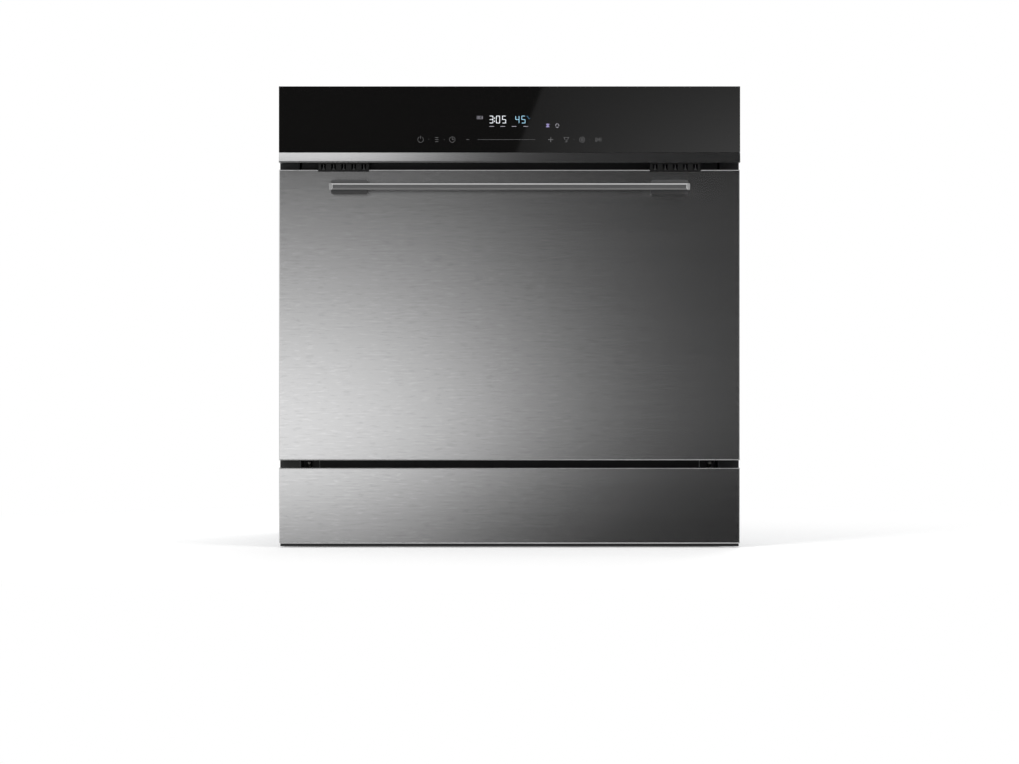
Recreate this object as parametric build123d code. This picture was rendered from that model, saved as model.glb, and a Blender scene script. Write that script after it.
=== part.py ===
from build123d import *
import os

os.makedirs("parts", exist_ok=True)

# Front bands, bottom to top. Y runs from the door's outer face to the back, X is centred.
front_width = 595.0
foot_gap = 5.2
lower_panel_height = 97.6
lower_gap = 9.7
door_height = 375.0
vent_band = 9.1
trim_height = 12.9
glass_height = 85.5

lower_panel_top = foot_gap + lower_panel_height
door_bottom = lower_panel_top + lower_gap
door_top = door_bottom + door_height
trim_bottom = door_top + vent_band
glass_bottom = trim_bottom + trim_height
front_top = glass_bottom + glass_height
half_front = front_width / 2

# Clearances
seam = 0.3
weld_gap = 0.2
running_fit = 0.05

# Body
niche_lap = 22.5
body_depth = 500.0
body_bottom = 8.0
top_set_down = 7.0
sheet = 0.8
frame_sheet = 1.5
half_body = half_front - niche_lap
body_top = front_top - top_set_down
under_top = body_top - sheet - seam
side_inner_x = half_body - sheet - seam

# Door
skin_depth = 20.0
door_thickness = 50.0
skin_edge_radius = 1.5
inner_top_set_down = 5.5
inner_bottom_rise = 1.5
hinge_inset = 12.0
hinge_rise = 8.0
hinge_y = hinge_inset
hinge_z = door_bottom + hinge_rise
inner_top = door_top - inner_top_set_down
inner_bottom = door_bottom + inner_bottom_rise
open_liner_z = hinge_z + door_thickness - hinge_inset

# Front frame, set just behind the door's outer shell
frame_standoff = 3.6
gasket_room = 3.0
fixing_screw_radius = 2.3
fixing_screw_inset = 11.5
fixing_screw_rise = 59.5
fixing_screw_spacing = 220.0
frame_face_y = skin_depth + frame_standoff
tub_face_y = door_thickness + gasket_room
frame_plate_y = tub_face_y + sheet + seam
frame_back_y = frame_plate_y + frame_sheet
web_x = side_inner_x
screw_x = half_front - fixing_screw_inset
fixing_screw_z = (hinge_z + fixing_screw_rise, hinge_z + fixing_screw_rise + fixing_screw_spacing)

# Toe plate and the apron it carries under the lower panel
toe_gap = 4.0
apron_inset = 4.0
apron_side_gap = 1.5
apron_bottom = 1.5
apron_tabs = 4
apron_tab_half = 12.0
apron_tab_inset = 30.0

# Hinge
pin_radius = 3.0
pin_boss = 5.5
pin_overhang = 0.5
lug_thickness = 4.5
lug_back_inset = 3.0
lug_base_sheet = 2.0
lug_base_half = 35.0
arm_sheet = 4.0
arm_side_gap = 0.5
arm_lug_gap = 1.4
arm_boss = 7.0
arm_front_gap = 1.0
arm_back_inset = 6.0
arm_rise = 129.5
eye_reach = 30.0
eye_drop = 12.0
eye_boss = 6.0
eye_hole_radius = 2.5
notch_play = 1.2
notch_front_y = 5.0
notch_rise = 9.5
lug_inner_x = web_x - frame_sheet - lug_thickness
lug_back_y = tub_face_y - lug_back_inset
arm_outer_x = lug_inner_x - arm_lug_gap
arm_inner_x = arm_outer_x - arm_sheet
arm_front_y = skin_depth + arm_front_gap
arm_back_y = door_thickness - arm_back_inset
arm_top_z = hinge_z + arm_rise
eye_y = hinge_y + eye_reach
eye_z = hinge_z - eye_drop
inner_half_width = arm_inner_x - arm_side_gap

# Tub
tub_side_room = 25.9
tub_back_gap = 43.0
track_height = 10.0
track_half_width = 6.0
track_inset = 13.0
opening_drop = 35.5
flange_width = 18.0
low_ceiling_rise = 17.5
low_ceiling_depth = 32.0
tub_top_room = 56.5
lip_drop = 3.5
sump_corner = 12.0
tub_half = web_x - tub_side_room
tub_inner_half = tub_half - sheet
tub_floor = open_liner_z - track_height
opening_top = door_top - opening_drop
low_ceiling = opening_top + low_ceiling_rise
tub_ceiling = body_top - tub_top_room
tub_back_y = body_depth - tub_back_gap
tub_mid_y = (tub_face_y + tub_back_y) / 2
step_y = tub_face_y + low_ceiling_depth
track_x = tub_half - track_inset

# Gasket
gasket_width = 8.0
gasket_side_gap = 7.0
gasket_lift = 9.0
gasket_x = tub_half + gasket_side_gap

# Handle
handle_side_gap = 66.5
handle_drop = 23.9
handle_bar_height = 8.6
handle_bar_depth = 14.0
handle_reach = 38.0
handle_end_chamfer = 5.0
handle_edge_chamfer = 2.0
post_inset = 25.8
post_width = 47.8
post_height = 18.8
post_edge_radius = 3.0
post_screw_radius = 2.5
post_screw_spacing = 28.0
post_screw_reach = 6.0
handle_half = half_front - handle_side_gap
handle_bar_z = door_top - handle_drop
post_x = handle_half - post_inset

# Small outlet grilles above the door
vent_side_gap = 83.5
vent_width = 65.0
vent_drop = 1.8
vent_notch_drop = 2.6
vent_slots = 5
vent_slot_width = 6.0
vent_front_inset = 1.0
vent_rim = 1.5
vent_play = 0.5
vent_x = half_front - vent_side_gap

# Upper rack, its rails and its feed pipe
rack_wall_gap = 29.0
wire_radius = 2.0
rim_radius = 2.5
tine_radius = 1.8
upright_radius = 1.7
upper_rim_drop = 28.0
upper_rack_height = 74.0
upper_rack_back_gap = 27.0
rail_height = 20.0
rail_depth = 11.0
rail_sheet = 1.5
rail_drop = 29.0
rail_pad_half = 8.0
rail_pad_depth = 4.0
guide_gap = 8.2
guide_end = 14.0
guide_half_height = 14.0
roller_first = 10.0
roller_spacing = 40.0
roller_width = 9.9
rail_side_gap = 2.3
upper_pipe_drop = 14.0
upper_pipe_radius = 8.0
upper_arm_drop = 21.0
upper_nut_drop = 26.0
upper_nut_radius = 12.0
upper_hub_radius = 15.0
shelf_inset = 5.5
shelf_drop = 38.0
shelf_width = 56.0
shelf_clip_half = 3.2
shelf_clip_inset = 43.5
shelf_end_inset = 14.0
shelf_wires = 7
shelf_wire_radius = 1.5
grip_half = 55.0
rack_grip_depth = 9.0
rack_grip_height = 22.0
rack_grip_corner = 6.0
guide_inner_x = tub_inner_half - guide_gap
roller_inner_x = guide_inner_x - seam - roller_width - seam
rail_inner_x = roller_inner_x - rail_side_gap
upper_rack_half = rail_inner_x - rail_pad_depth - wire_radius - weld_gap
upper_rack_front = tub_face_y + rack_wall_gap
upper_rack_back = tub_back_y - upper_rack_back_gap
upper_rack_rim = opening_top - upper_rim_drop
upper_rack_floor = upper_rack_rim - upper_rack_height
rail_z = upper_rack_rim - rail_drop
roller_front_y = upper_rack_front + roller_first
roller_rear_y = roller_front_y + roller_spacing
upper_pipe_z = upper_rack_floor - upper_pipe_drop
upper_arm_bottom = upper_pipe_z - upper_arm_drop
upper_nut_bottom = upper_pipe_z - upper_nut_drop
shelf_axis_x = upper_rack_half - shelf_inset
shelf_z = upper_rack_rim - shelf_drop
shelf_clips_y = (upper_rack_front + shelf_clip_inset, upper_rack_back - shelf_clip_inset)

# Lower rack, its wheels and its plate holders
wheel_radius = 17.0
wheel_width = 8.0
wheel_edge = 1.5
wheel_front_inset = 70.0
wheel_rear_inset = 47.0
axle_radius = 3.0
bracket_thickness = 6.5
bracket_half = 12.0
bracket_drop = 8.0
head_sheet = 1.2
head_radius = 5.5
lower_floor_rise = 27.5
rack_gap = 26.0
lower_rack_back_gap = 25.0
floor_wires_along = 12
floor_wires_across = 8
side_wires = 9
end_wires = 11
tine_count = 11
tine_side_inset = 32.0
tine_top_gap = 6.0
fixed_tine_rows = 3
fixed_tine_inset = 42.0
fixed_tine_pitch = 45.0
fold_row_inset = 118.0
tine_clip_inset = 19.0
tine_clip_width = 6.0
tine_clip_half = 4.5
wheel_inner_x = track_x - wheel_width / 2
wheel_outer_x = track_x + wheel_width / 2
bracket_outer_x = wheel_inner_x - seam
lower_rack_half = bracket_outer_x - bracket_thickness - wire_radius - weld_gap
lower_rack_front = tub_face_y + rack_wall_gap
lower_rack_back = tub_back_y - lower_rack_back_gap
lower_rack_floor = open_liner_z + lower_floor_rise
lower_rack_rim = upper_nut_bottom - rack_gap
wheel_front_y = lower_rack_front + wheel_front_inset
wheel_rear_y = lower_rack_back - wheel_rear_inset
wheel_z = open_liner_z + seam + wheel_radius
tine_span_half = lower_rack_half - tine_side_inset
tine_height = lower_rack_rim - lower_rack_floor - tine_top_gap
tine_clip_x = lower_rack_half - tine_clip_inset
tine_row_y = lower_rack_front + fold_row_inset
fixed_tines_last = lower_rack_back - fixed_tine_inset
fixed_tines_first = fixed_tines_last - fixed_tine_pitch * (fixed_tine_rows - 1)
tine_axis_z = lower_rack_floor + 2 * wire_radius + seam

# Cutlery basket
cutlery_side_gap = 17.0
cutlery_width = 180.0
cutlery_front_gap = 6.0
cutlery_depth = 72.0
cutlery_rim_drop = 3.8
cutlery_wall = 2.5
cutlery_rooms = 3
cutlery_corner = 5.0
cutlery_slits = 15
cutlery_slit = 4.0
cutlery_slit_margin = 14.0
cutlery_left = -lower_rack_half + cutlery_side_gap
cutlery_right = cutlery_left + cutlery_width
cutlery_front = lower_rack_front + cutlery_front_gap
cutlery_back = cutlery_front + cutlery_depth
cutlery_bottom = lower_rack_floor + wire_radius + weld_gap
cutlery_top = lower_rack_rim - cutlery_rim_drop

# Spray arms
arm_rack_gap = 35.0
arm_track_rise = 7.5
spray_arm_height = 10.0
spray_hub_width = 52.0
spray_tip_width = 26.0
spray_edge = 2.5
spray_jets = 5
jet_hub_gap = 55.0
jet_tip_gap = 20.0
spray_jet_radius = 2.0
spray_jet_depth = 3.0
lower_hub_radius = 22.0
spray_half_length = upper_rack_half - arm_rack_gap
spray_jet_first = jet_hub_gap
spray_jet_last = spray_half_length - jet_tip_gap
spray_arm_bottom = open_liner_z + arm_track_rise

# Sump and pumps under the tub
sump_half_width = 70.0
sump_front_reach = 135.0
sump_back_reach = 45.0
sump_depth = 76.5
sump_wall = 3.0
sump_rim = 6.0
duct_radius = 16.0
duct_bore = 12.0
duct_arm_gap = 4.0
port_radius = 18.0
port_bore = 14.0
pump_inset = 40.0
pump_rise = 20.0
pump_neck = 16.0
pump_length = 96.0
pump_radius = 42.0
pump_edge = 6.0
pump_cap = 14.0
drain_pump_offset = 15.0
drain_pump_length = 58.0
drain_pump_radius = 28.0
hub_y = tub_mid_y
sump_front = hub_y - sump_front_reach
sump_back = hub_y + sump_back_reach
sump_bottom = tub_floor - sump_depth
duct_top = spray_arm_bottom - duct_arm_gap
pump_y = hub_y - pump_inset
pump_z = sump_bottom + pump_rise
pump_left = sump_half_width + pump_neck
drain_pump_left = sump_half_width + pump_neck
drain_pump_y = hub_y + drain_pump_offset

# Outlets in the recess at the back
recess_depth = 18.0
outlet_rise = 54.0
recess_rise = 56.0
inlet_side_gap = 110.0
inlet_radius = 13.2
inlet_bore = 9.0
inlet_thread_length = 14.0
inlet_relief = 1.2
inlet_neck = 2.0
valve_half_width = 26.0
valve_half_height = 20.0
valve_depth = 36.0
valve_coil_height = 28.0
valve_coil_radius = 14.0
drain_side_gap = 125.0
drain_stub = 34.0
drain_bend_gap = 110.0
drain_drop_gap = 57.0
drain_spigot = 16.5
drain_flange_radius = 15.0
outlet_flange = 2.5
hose_radius = 9.5
hose_bend_radius = 40.0
mains_side_gap = 63.0
mains_half_width = 22.0
mains_half_height = 24.0
mains_depth = 32.0
gland_radius = 9.0
gland_bore = 4.5
gland_length = 15.0
recess_y = body_depth - recess_depth
outlet_z = body_bottom + outlet_rise
recess_top = outlet_z + recess_rise
inlet_neck_radius = inlet_radius - inlet_relief
inlet_x = half_body - inlet_side_gap
mains_x = mains_side_gap - half_body
drain_x = drain_side_gap - half_body
drain_stub_y = drain_pump_y + drain_stub
drain_bend_y = recess_y - drain_bend_gap
drain_drop_y = recess_y - drain_drop_gap

# Door springs
spring_wire_radius = 1.5
spring_anchor_reach = 97.0
spring_anchor_drop = 58.5
spring_start_share = 0.25
spring_end_share = 0.9
spring_radius = 7.0
spring_slot_drop = 30.5
spring_slot_rise = 5.5
spring_x = arm_inner_x - seam - spring_wire_radius
spring_anchor_y = tub_face_y + spring_anchor_reach
spring_anchor_z = hinge_z - spring_anchor_drop
spring_slot_bottom = hinge_z - spring_slot_drop
spring_slot_top = hinge_z + spring_slot_rise

# Water softener and float, in front of the sump's ends
softener_spring_gap = 8.7
softener_sump_gap = 30.0
softener_pump_gap = 14.0
softener_depth = 125.0
softener_drop = 26.5
softener_corner = 14.0
salt_inset = 35.0
salt_neck_radius = 30.0
salt_neck_rise = 2.0
salt_bore_depth = 22.0
salt_bore_radius = 24.0
salt_cap_height = 5.0
salt_cap_lap = 4.0
salt_plug_length = 14.0
salt_grip_half = 22.0
salt_grip_width = 8.0
salt_grip_height = 4.0
float_side_gap = 110.0
float_face_gap = 72.0
float_stem_radius = 4.0
float_guide_depth = 30.5
float_guide_radius = 8.0
float_stem_tail = 6.0
float_bell_height = 8.0
float_bell_radius = 20.0
float_bell_edge = 3.0
softener_left = softener_spring_gap + spring_radius - spring_x
softener_right = -sump_half_width - softener_sump_gap
softener_back = drain_pump_y - drain_pump_radius - softener_pump_gap
softener_front = softener_back - softener_depth
softener_top = tub_floor - softener_drop
salt_x = (softener_left + softener_right) / 2
salt_y = softener_front + salt_inset
salt_neck_top = tub_floor + sheet + salt_neck_rise
salt_bore_bottom = softener_top - salt_bore_depth
float_x = half_body - float_side_gap
float_y = tub_face_y + float_face_gap
float_guide_bottom = tub_floor - float_guide_depth
float_stem_bottom = float_guide_bottom - float_stem_tail
float_bell_bottom = tub_floor + sheet + seam

# Filters
filter_lap = 6.0
filter_inset = 80.0
filter_radius = 38.0
filter_cup_rise = 14.0
filter_wall = 2.0
filter_rim = 5.0
filter_grip_height = 8.0
hub_lift = 1.0
filter_y = hub_y - filter_inset
filter_plate_bottom = tub_floor + sheet + weld_gap
filter_cup_bottom = sump_bottom + filter_cup_rise
lower_hub_bottom = filter_plate_bottom + frame_sheet + hub_lift

# Side channel and spray feed
air_break_inset = 57.0
air_break_back_gap = 27.0
air_break_end_gap = 31.5
air_break_corner = 30.0
air_break_channels = 6
air_break_groove = 14.0
air_break_groove_depth = 8.0
riser_radius = 9.0
riser_bend = 14.0
riser_rise = 16.0
feed_radius = 11.0
feed_socket_reach = 15.0
feed_socket_depth = 8.0
feed_socket_bore = 8.5
feed_pipe_lap = 4.0
nozzle_radius = 26.0
nozzle_height = 12.0
nozzle_chamfer = 4.0
air_break_front = tub_face_y + air_break_inset
air_break_back = tub_back_y - air_break_back_gap
air_break_bottom = tub_floor + air_break_end_gap
air_break_top = tub_ceiling - air_break_end_gap
riser_top = tub_ceiling + riser_rise
feed_socket_y = tub_back_y - feed_socket_reach
upper_pipe_end = feed_socket_y + feed_pipe_lap

# Feet
foot_side_gap = 40.0
foot_front_inset = 32.0
foot_rear_inset = 60.0
foot_pad_radius = 17.0
foot_pad_height = 6.0
foot_chamfer = 1.5
foot_stem_radius = 5.0
foot_stem_length = 39.0
foot_boss_radius = 12.0
tray_wall = 2.5
tray_wall_height = 24.0
foot_x = half_body - foot_side_gap
foot_front_y = tub_face_y + foot_front_inset
foot_rear_y = body_depth - foot_rear_inset
foot_stem_top = foot_pad_height + foot_stem_length
foot_boss_top = body_bottom + tray_wall_height
foot_places = (
    (-foot_x, foot_front_y),
    (foot_x, foot_front_y),
    (-foot_x, foot_rear_y),
    (foot_x, foot_rear_y),
)

# Control head
glass_depth = 4.0
housing_side_gap = 6.0
housing_wall = 2.5
housing_step = 2.0
housing_drop = 1.0
display_half = 62.0
display_offset = 14.0
display_rise = 27.5
display_height = 26.0
board_half = 150.0
board_inset = 8.0
board_sheet = 1.6
board_rise = 10.5
board_top_gap = 17.0
board_post_inset = 10.0
board_post_radius = 4.0
relay_far = 110.0
relay_near = 80.0
relay_right = 100.0
relay_half = 9.0
relay_depth = 15.0
trim_bulge = 1.5
trim_lip = 2.0
housing_half = half_body - housing_side_gap
housing_step_y = skin_depth + housing_step
housing_back = tub_face_y + sheet
housing_bottom = door_top + housing_drop
housing_front_bottom = trim_bottom + frame_sheet + seam
display_left = display_offset - display_half
display_right = display_offset + display_half
display_bottom = glass_bottom + display_rise
display_top = display_bottom + display_height
board_y = housing_step_y + board_inset
board_bottom = glass_bottom + board_rise
board_top = front_top - board_top_gap
board_post_x = board_half - board_post_inset
panel_front_y = frame_face_y + frame_sheet + seam

# Lock and strike
strike_half = 11.0
strike_bar = 3.0
strike_rise = 4.5
strike_height = 6.0
strike_reach = 14.0
strike_play = 2.0
slot_under = 1.0
slot_over = 4.8
slot_end_gap = 8.0
lock_half = 28.0
lock_wall = 10.0
lock_roof = 2.5
lock_ear_half = 40.0
lock_ear_sheet = 2.0
lock_bottom = low_ceiling + frame_sheet + seam
strike_bottom = low_ceiling + strike_rise
strike_top = strike_bottom + strike_height
strike_tip_y = door_thickness + strike_reach
slot_bottom = strike_bottom - slot_under
slot_top = strike_top + slot_over
slot_back_y = strike_tip_y + slot_end_gap
lock_top = slot_top + lock_roof
lock_back_y = slot_back_y + lock_wall

# Door lining and filling
liner_edge_radius = 4.0
liner_field_side = 67.0
liner_field_depth = 3.0
liner_field_low = 51.0
liner_field_high = 37.0
liner_field_corner = 20.0
pad_side = 7.0
liner_field_half = inner_half_width - liner_field_side
liner_field_bottom = inner_bottom + liner_field_low
liner_field_top = inner_top - liner_field_high

# Dispenser
dispenser_half = 95.0
dispenser_rise = 63.0
dispenser_height = 94.0
dispenser_back_gap = 2.0
dispenser_lap = 6.0
dispenser_plate = 2.3
dispenser_corner = 8.0
cup_side_wall = 35.0
cup_width = 60.0
cup_end_wall = 17.0
cup_floor = 5.0
cup_corner = 10.0
lid_lap = 5.0
lid_sheet = 2.2
lid_guide = 3.0
lid_guide_height = 3.0
lid_grip = 8.0
cap_side_wall = 33.0
cap_radius = 17.0
cap_stub_radius = 11.0
cap_bore_floor = 16.0
cap_height = 3.0
cap_grip_width = 6.0
cap_grip_height = 1.5
button_gap = 14.0
button_width = 20.0
button_half_height = 15.0
button_depth = 2.3
button_travel = 3.0
button_proud = 3.5
dispenser_left = -dispenser_half
dispenser_right = dispenser_half
dispenser_bottom = liner_field_bottom + dispenser_rise
dispenser_top = dispenser_bottom + dispenser_height
dispenser_back_y = skin_depth + dispenser_back_gap
dispenser_plate_y = door_thickness - liner_field_depth + seam
dispenser_face_y = dispenser_plate_y + dispenser_plate
cup_left = dispenser_left + cup_side_wall
cup_right = cup_left + cup_width
cup_bottom = dispenser_bottom + cup_end_wall
cup_top = dispenser_top - cup_end_wall
cup_back_y = dispenser_back_y + cup_floor
cap_x = dispenser_right - cap_side_wall
cap_z = (dispenser_bottom + dispenser_top) / 2
cap_bore_y = dispenser_back_y + cap_bore_floor
button_left = cup_right + button_gap
button_right = button_left + button_width
button_bottom = cap_z - button_half_height
button_top = cap_z + button_half_height
button_back_y = dispenser_plate_y - button_depth

# The model's origin lies on the floor, in the middle of its outline
origin_y = (body_depth - handle_reach) / 2


def block(x_span, y_span, z_span):
    (x0, x1), (y0, y1), (z0, z1) = x_span, y_span, z_span
    centre = Pos((x0 + x1) / 2, (y0 + y1) / 2, (z0 + z1) / 2)
    return centre * Box(x1 - x0, y1 - y0, z1 - z0)


def bar(start, end, radius):
    path = Vector(end) - Vector(start)
    return Part([Solid.make_cylinder(radius, path.length, Plane(origin=start, z_dir=path))])


def tube(start, end, radius, bore):
    return bar(start, end, radius) - bar(start, end, bore)


def joined(shapes):
    first, *rest = shapes
    return Part(first.fuse(*rest).solids())


def both_sides(shape):
    return Part(shape.solids() + mirror(shape, Plane.YZ).solids())


def side_plate(outline, x_span):
    # a flat plate in the YZ plane, between two X values
    face = make_face(Polyline(*[(x_span[0], y, z) for y, z in outline], close=True))
    return extrude(face, amount=x_span[1] - x_span[0], dir=(1, 0, 0))


def save(name, shape):
    export_step(Pos(0, -origin_y, 0) * shape, "parts/" + name + ".step")


def spread(first, last, count):
    step = (last - first) / (count - 1)
    return [first + step * index for index in range(count)]


# Front

def control_glass():
    return block((-half_front, half_front), (0, glass_depth), (glass_bottom + seam, front_top))


def control_housing():
    head_half = half_front - sheet
    head_back = frame_face_y - seam
    top = under_top - seam
    head = block((-head_half, head_half), (glass_depth, head_back), (housing_front_bottom, top))
    upper = block(
        (-housing_half, housing_half),
        (glass_depth, housing_back),
        (housing_front_bottom, top),
    )
    lower = block(
        (-housing_half, housing_half),
        (housing_step_y, housing_back),
        (housing_bottom, housing_front_bottom),
    )
    head_room = block(
        (-head_half + housing_wall, head_half - housing_wall),
        (glass_depth + housing_wall, head_back),
        (housing_front_bottom + housing_wall, top - housing_wall),
    )
    upper_room = block(
        (-housing_half + housing_wall, housing_half - housing_wall),
        (glass_depth + housing_wall, housing_back),
        (housing_front_bottom + housing_wall, top - housing_wall),
    )
    lower_room = block(
        (-housing_half + housing_wall, housing_half - housing_wall),
        (housing_step_y + housing_wall, housing_back),
        (housing_bottom + housing_wall, housing_front_bottom + housing_wall),
    )
    shell = head - head_room + upper + lower - upper_room - lower_room
    window = block(
        (display_left, display_right),
        (0, glass_depth + housing_wall),
        (display_bottom, display_top),
    )
    shell = shell - window
    for x in (-board_post_x, board_post_x):
        for z in (board_bottom + board_post_radius, board_top - board_post_radius):
            shell = shell + bar((x, glass_depth, z), (x, board_y, z), board_post_radius)
    return shell


def control_board():
    board = block(
        (-board_half, board_half),
        (board_y, board_y + board_sheet),
        (board_bottom, board_top),
    )
    display = block(
        (display_left + seam, display_right - seam),
        (glass_depth + seam, board_y),
        (display_bottom + seam, display_top - seam),
    )
    relay_z = (board_bottom + board_top) / 2
    board = board + display
    for x in (-relay_far, -relay_near, relay_right):
        relay = block(
            (x - relay_half, x + relay_half),
            (board_y, board_y + relay_depth),
            (relay_z - relay_half, relay_z + relay_half),
        )
        board = board + relay
    return board


def trim_strip():
    outline = [
        (0, glass_bottom),
        (-trim_bulge, trim_bottom + trim_lip),
        (-trim_bulge, trim_bottom),
        (skin_depth, trim_bottom),
        (skin_depth, trim_bottom + frame_sheet),
        (frame_sheet, trim_bottom + frame_sheet),
        (frame_sheet, glass_bottom),
    ]
    return side_plate(outline, (-half_front, half_front))


def vent_grille(centre_x):
    bottom = door_top - vent_drop
    top = trim_bottom - seam
    grille = block(
        (centre_x - vent_width / 2, centre_x + vent_width / 2),
        (vent_front_inset, housing_step_y - seam),
        (bottom, top),
    )
    pitch = vent_width / vent_slots
    for index in range(vent_slots):
        slot_x = centre_x - vent_width / 2 + pitch * (index + 0.5)
        slot = block(
            (slot_x - vent_slot_width / 2, slot_x + vent_slot_width / 2),
            (0, housing_step_y),
            (bottom + vent_rim, top - vent_rim),
        )
        grille = grille - slot
    return grille


def front_pan(z_span, depth):
    # a folded sheet with rounded front edges, open at the back
    bottom, top = z_span
    shell = block((-half_front, half_front), (0, depth), (bottom, top))
    front = shell.faces().sort_by(Axis.Y)[0]
    shell = fillet(front.edges(), skin_edge_radius)
    room = block(
        (-half_front + sheet, half_front - sheet),
        (sheet, depth),
        (bottom + sheet, top - sheet),
    )
    return shell - room


def lower_panel():
    return front_pan((foot_gap, lower_panel_top), frame_face_y)


def toe_plate():
    plate = block(
        (-tub_half, tub_half),
        (frame_plate_y, frame_back_y),
        (apron_bottom, tub_floor - toe_gap),
    )
    apron_half = half_front - apron_side_gap
    apron = block(
        (-apron_half, apron_half),
        (apron_inset, skin_depth),
        (apron_bottom, foot_gap - seam),
    )
    tab_reach = tub_half - apron_tab_inset
    for x in spread(-tab_reach, tab_reach, apron_tabs):
        tab = block(
            (x - apron_tab_half, x + apron_tab_half),
            (apron_inset, frame_back_y),
            (apron_bottom, apron_bottom + frame_sheet),
        )
        plate = plate + tab
    return plate + apron


# Body

def front_frame():
    flange = block(
        (web_x, half_front),
        (frame_face_y, frame_face_y + frame_sheet),
        (body_bottom, under_top),
    )
    web = block(
        (web_x - frame_sheet, web_x),
        (frame_face_y, frame_back_y),
        (body_bottom, under_top),
    )
    inner = block(
        (tub_half + seam, web_x),
        (frame_plate_y, frame_back_y),
        (body_bottom, under_top),
    )
    spring_slot = block(
        (spring_x - 2 * spring_wire_radius, arm_outer_x + seam),
        (frame_plate_y, frame_back_y),
        (spring_slot_bottom, spring_slot_top),
    )
    holes = [
        bar((screw_x, frame_face_y, z), (screw_x, frame_back_y, z), fixing_screw_radius)
        for z in fixing_screw_z
    ]
    upright = flange + web + inner - spring_slot
    for hole in holes:
        upright = upright - hole
    top_plate = block(
        (-web_x, web_x),
        (frame_plate_y, frame_back_y),
        (low_ceiling + frame_sheet, under_top),
    )
    lock_window = block(
        (-lock_half - seam, lock_half + seam),
        (frame_plate_y, frame_back_y),
        (lock_bottom - seam, lock_top + seam),
    )
    return both_sides(upright) + top_plate - lock_window


def side_panel():
    return block(
        (half_body - sheet, half_body),
        (panel_front_y, body_depth - seam - sheet),
        (body_bottom, under_top),
    )


def top_panel():
    return block(
        (-half_body, half_body),
        (panel_front_y, body_depth - seam - sheet),
        (body_top - sheet, body_top),
    )


def back_panel():
    back = block((-half_body, half_body), (body_depth - sheet, body_depth), (recess_top, body_top))
    shelf = block(
        (-half_body + sheet, half_body - sheet),
        (recess_y, body_depth - sheet),
        (recess_top, recess_top + sheet),
    )
    low = block(
        (-half_body + sheet + seam, half_body - sheet - seam),
        (recess_y - sheet, recess_y),
        (body_bottom, recess_top + sheet),
    )
    panel = back + shelf + low
    for x, radius in ((inlet_x, inlet_radius), (drain_x, hose_radius), (mains_x, gland_radius)):
        hole = bar((x, recess_y - sheet, outlet_z), (x, recess_y, outlet_z), radius + seam)
        panel = panel - hole
    return panel


def base_tray():
    x_span = (-half_body + sheet + seam, half_body - sheet - seam)
    y_span = (frame_back_y + seam, recess_y - sheet - seam)
    tray = block(x_span, y_span, (body_bottom, body_bottom + tray_wall_height))
    room = block(
        (x_span[0] + tray_wall, x_span[1] - tray_wall),
        (y_span[0] + tray_wall, y_span[1] - tray_wall),
        (body_bottom + tray_wall, body_bottom + tray_wall_height),
    )
    tray = tray - room
    for x, y in foot_places:
        boss = bar((x, y, body_bottom), (x, y, foot_boss_top), foot_boss_radius)
        hole = bar((x, y, body_bottom), (x, y, foot_boss_top), foot_stem_radius + running_fit)
        tray = tray + boss - hole
    return tray


def foot(x, y):
    pad = bar((x, y, 0), (x, y, foot_pad_height), foot_pad_radius)
    pad = chamfer(pad.edges().sort_by(Axis.Z)[-1], foot_chamfer)
    stem = bar((x, y, foot_pad_height), (x, y, foot_stem_top), foot_stem_radius)
    return pad + stem


def tub():
    low_outer = block((-tub_half, tub_half), (tub_face_y, tub_back_y), (tub_floor, low_ceiling))
    high_outer = block((-tub_half, tub_half), (step_y, tub_back_y), (low_ceiling, tub_ceiling))
    low_room = block(
        (-tub_inner_half, tub_inner_half),
        (tub_face_y, tub_back_y - sheet),
        (tub_floor + sheet, low_ceiling - sheet),
    )
    high_room = block(
        (-tub_inner_half, tub_inner_half),
        (step_y + sheet, tub_back_y - sheet),
        (low_ceiling - sheet, tub_ceiling - sheet),
    )
    body = low_outer + high_outer - low_room - high_room
    flange = block(
        (-tub_half - flange_width, tub_half + flange_width),
        (tub_face_y, tub_face_y + sheet),
        (tub_floor - lip_drop, opening_top + flange_width),
    )
    opening = block(
        (-tub_inner_half, tub_inner_half),
        (tub_face_y, tub_face_y + sheet),
        (open_liner_z, opening_top),
    )
    body = body + (flange - opening)
    for x in (-track_x, track_x):
        track = block(
            (x - track_half_width, x + track_half_width),
            (tub_face_y, tub_back_y),
            (tub_floor, open_liner_z),
        )
        hollow = block(
            (x - track_half_width + sheet, x + track_half_width - sheet),
            (tub_face_y + sheet, tub_back_y - sheet),
            (tub_floor, open_liner_z - sheet),
        )
        body = body + track - hollow
    sump_hole = block(
        (-sump_half_width + sump_wall, sump_half_width - sump_wall),
        (sump_front + sump_wall, sump_back - sump_wall),
        (tub_floor, tub_floor + sheet),
    )
    sump_hole = fillet(sump_hole.edges().filter_by(Axis.Z), sump_corner)
    salt_hole = bar(
        (salt_x, salt_y, tub_floor),
        (salt_x, salt_y, tub_floor + sheet),
        salt_neck_radius + seam,
    )
    feed_hole = bar(
        (0, tub_back_y - sheet, upper_pipe_z),
        (0, tub_back_y, upper_pipe_z),
        feed_radius + running_fit,
    )
    guide = bar(
        (float_x, float_y, float_guide_bottom),
        (float_x, float_y, tub_floor + sheet),
        float_guide_radius,
    )
    guide_bore = bar(
        (float_x, float_y, float_guide_bottom),
        (float_x, float_y, tub_floor + sheet),
        float_stem_radius + running_fit,
    )
    return body - sump_hole - salt_hole - feed_hole + guide - guide_bore


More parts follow.
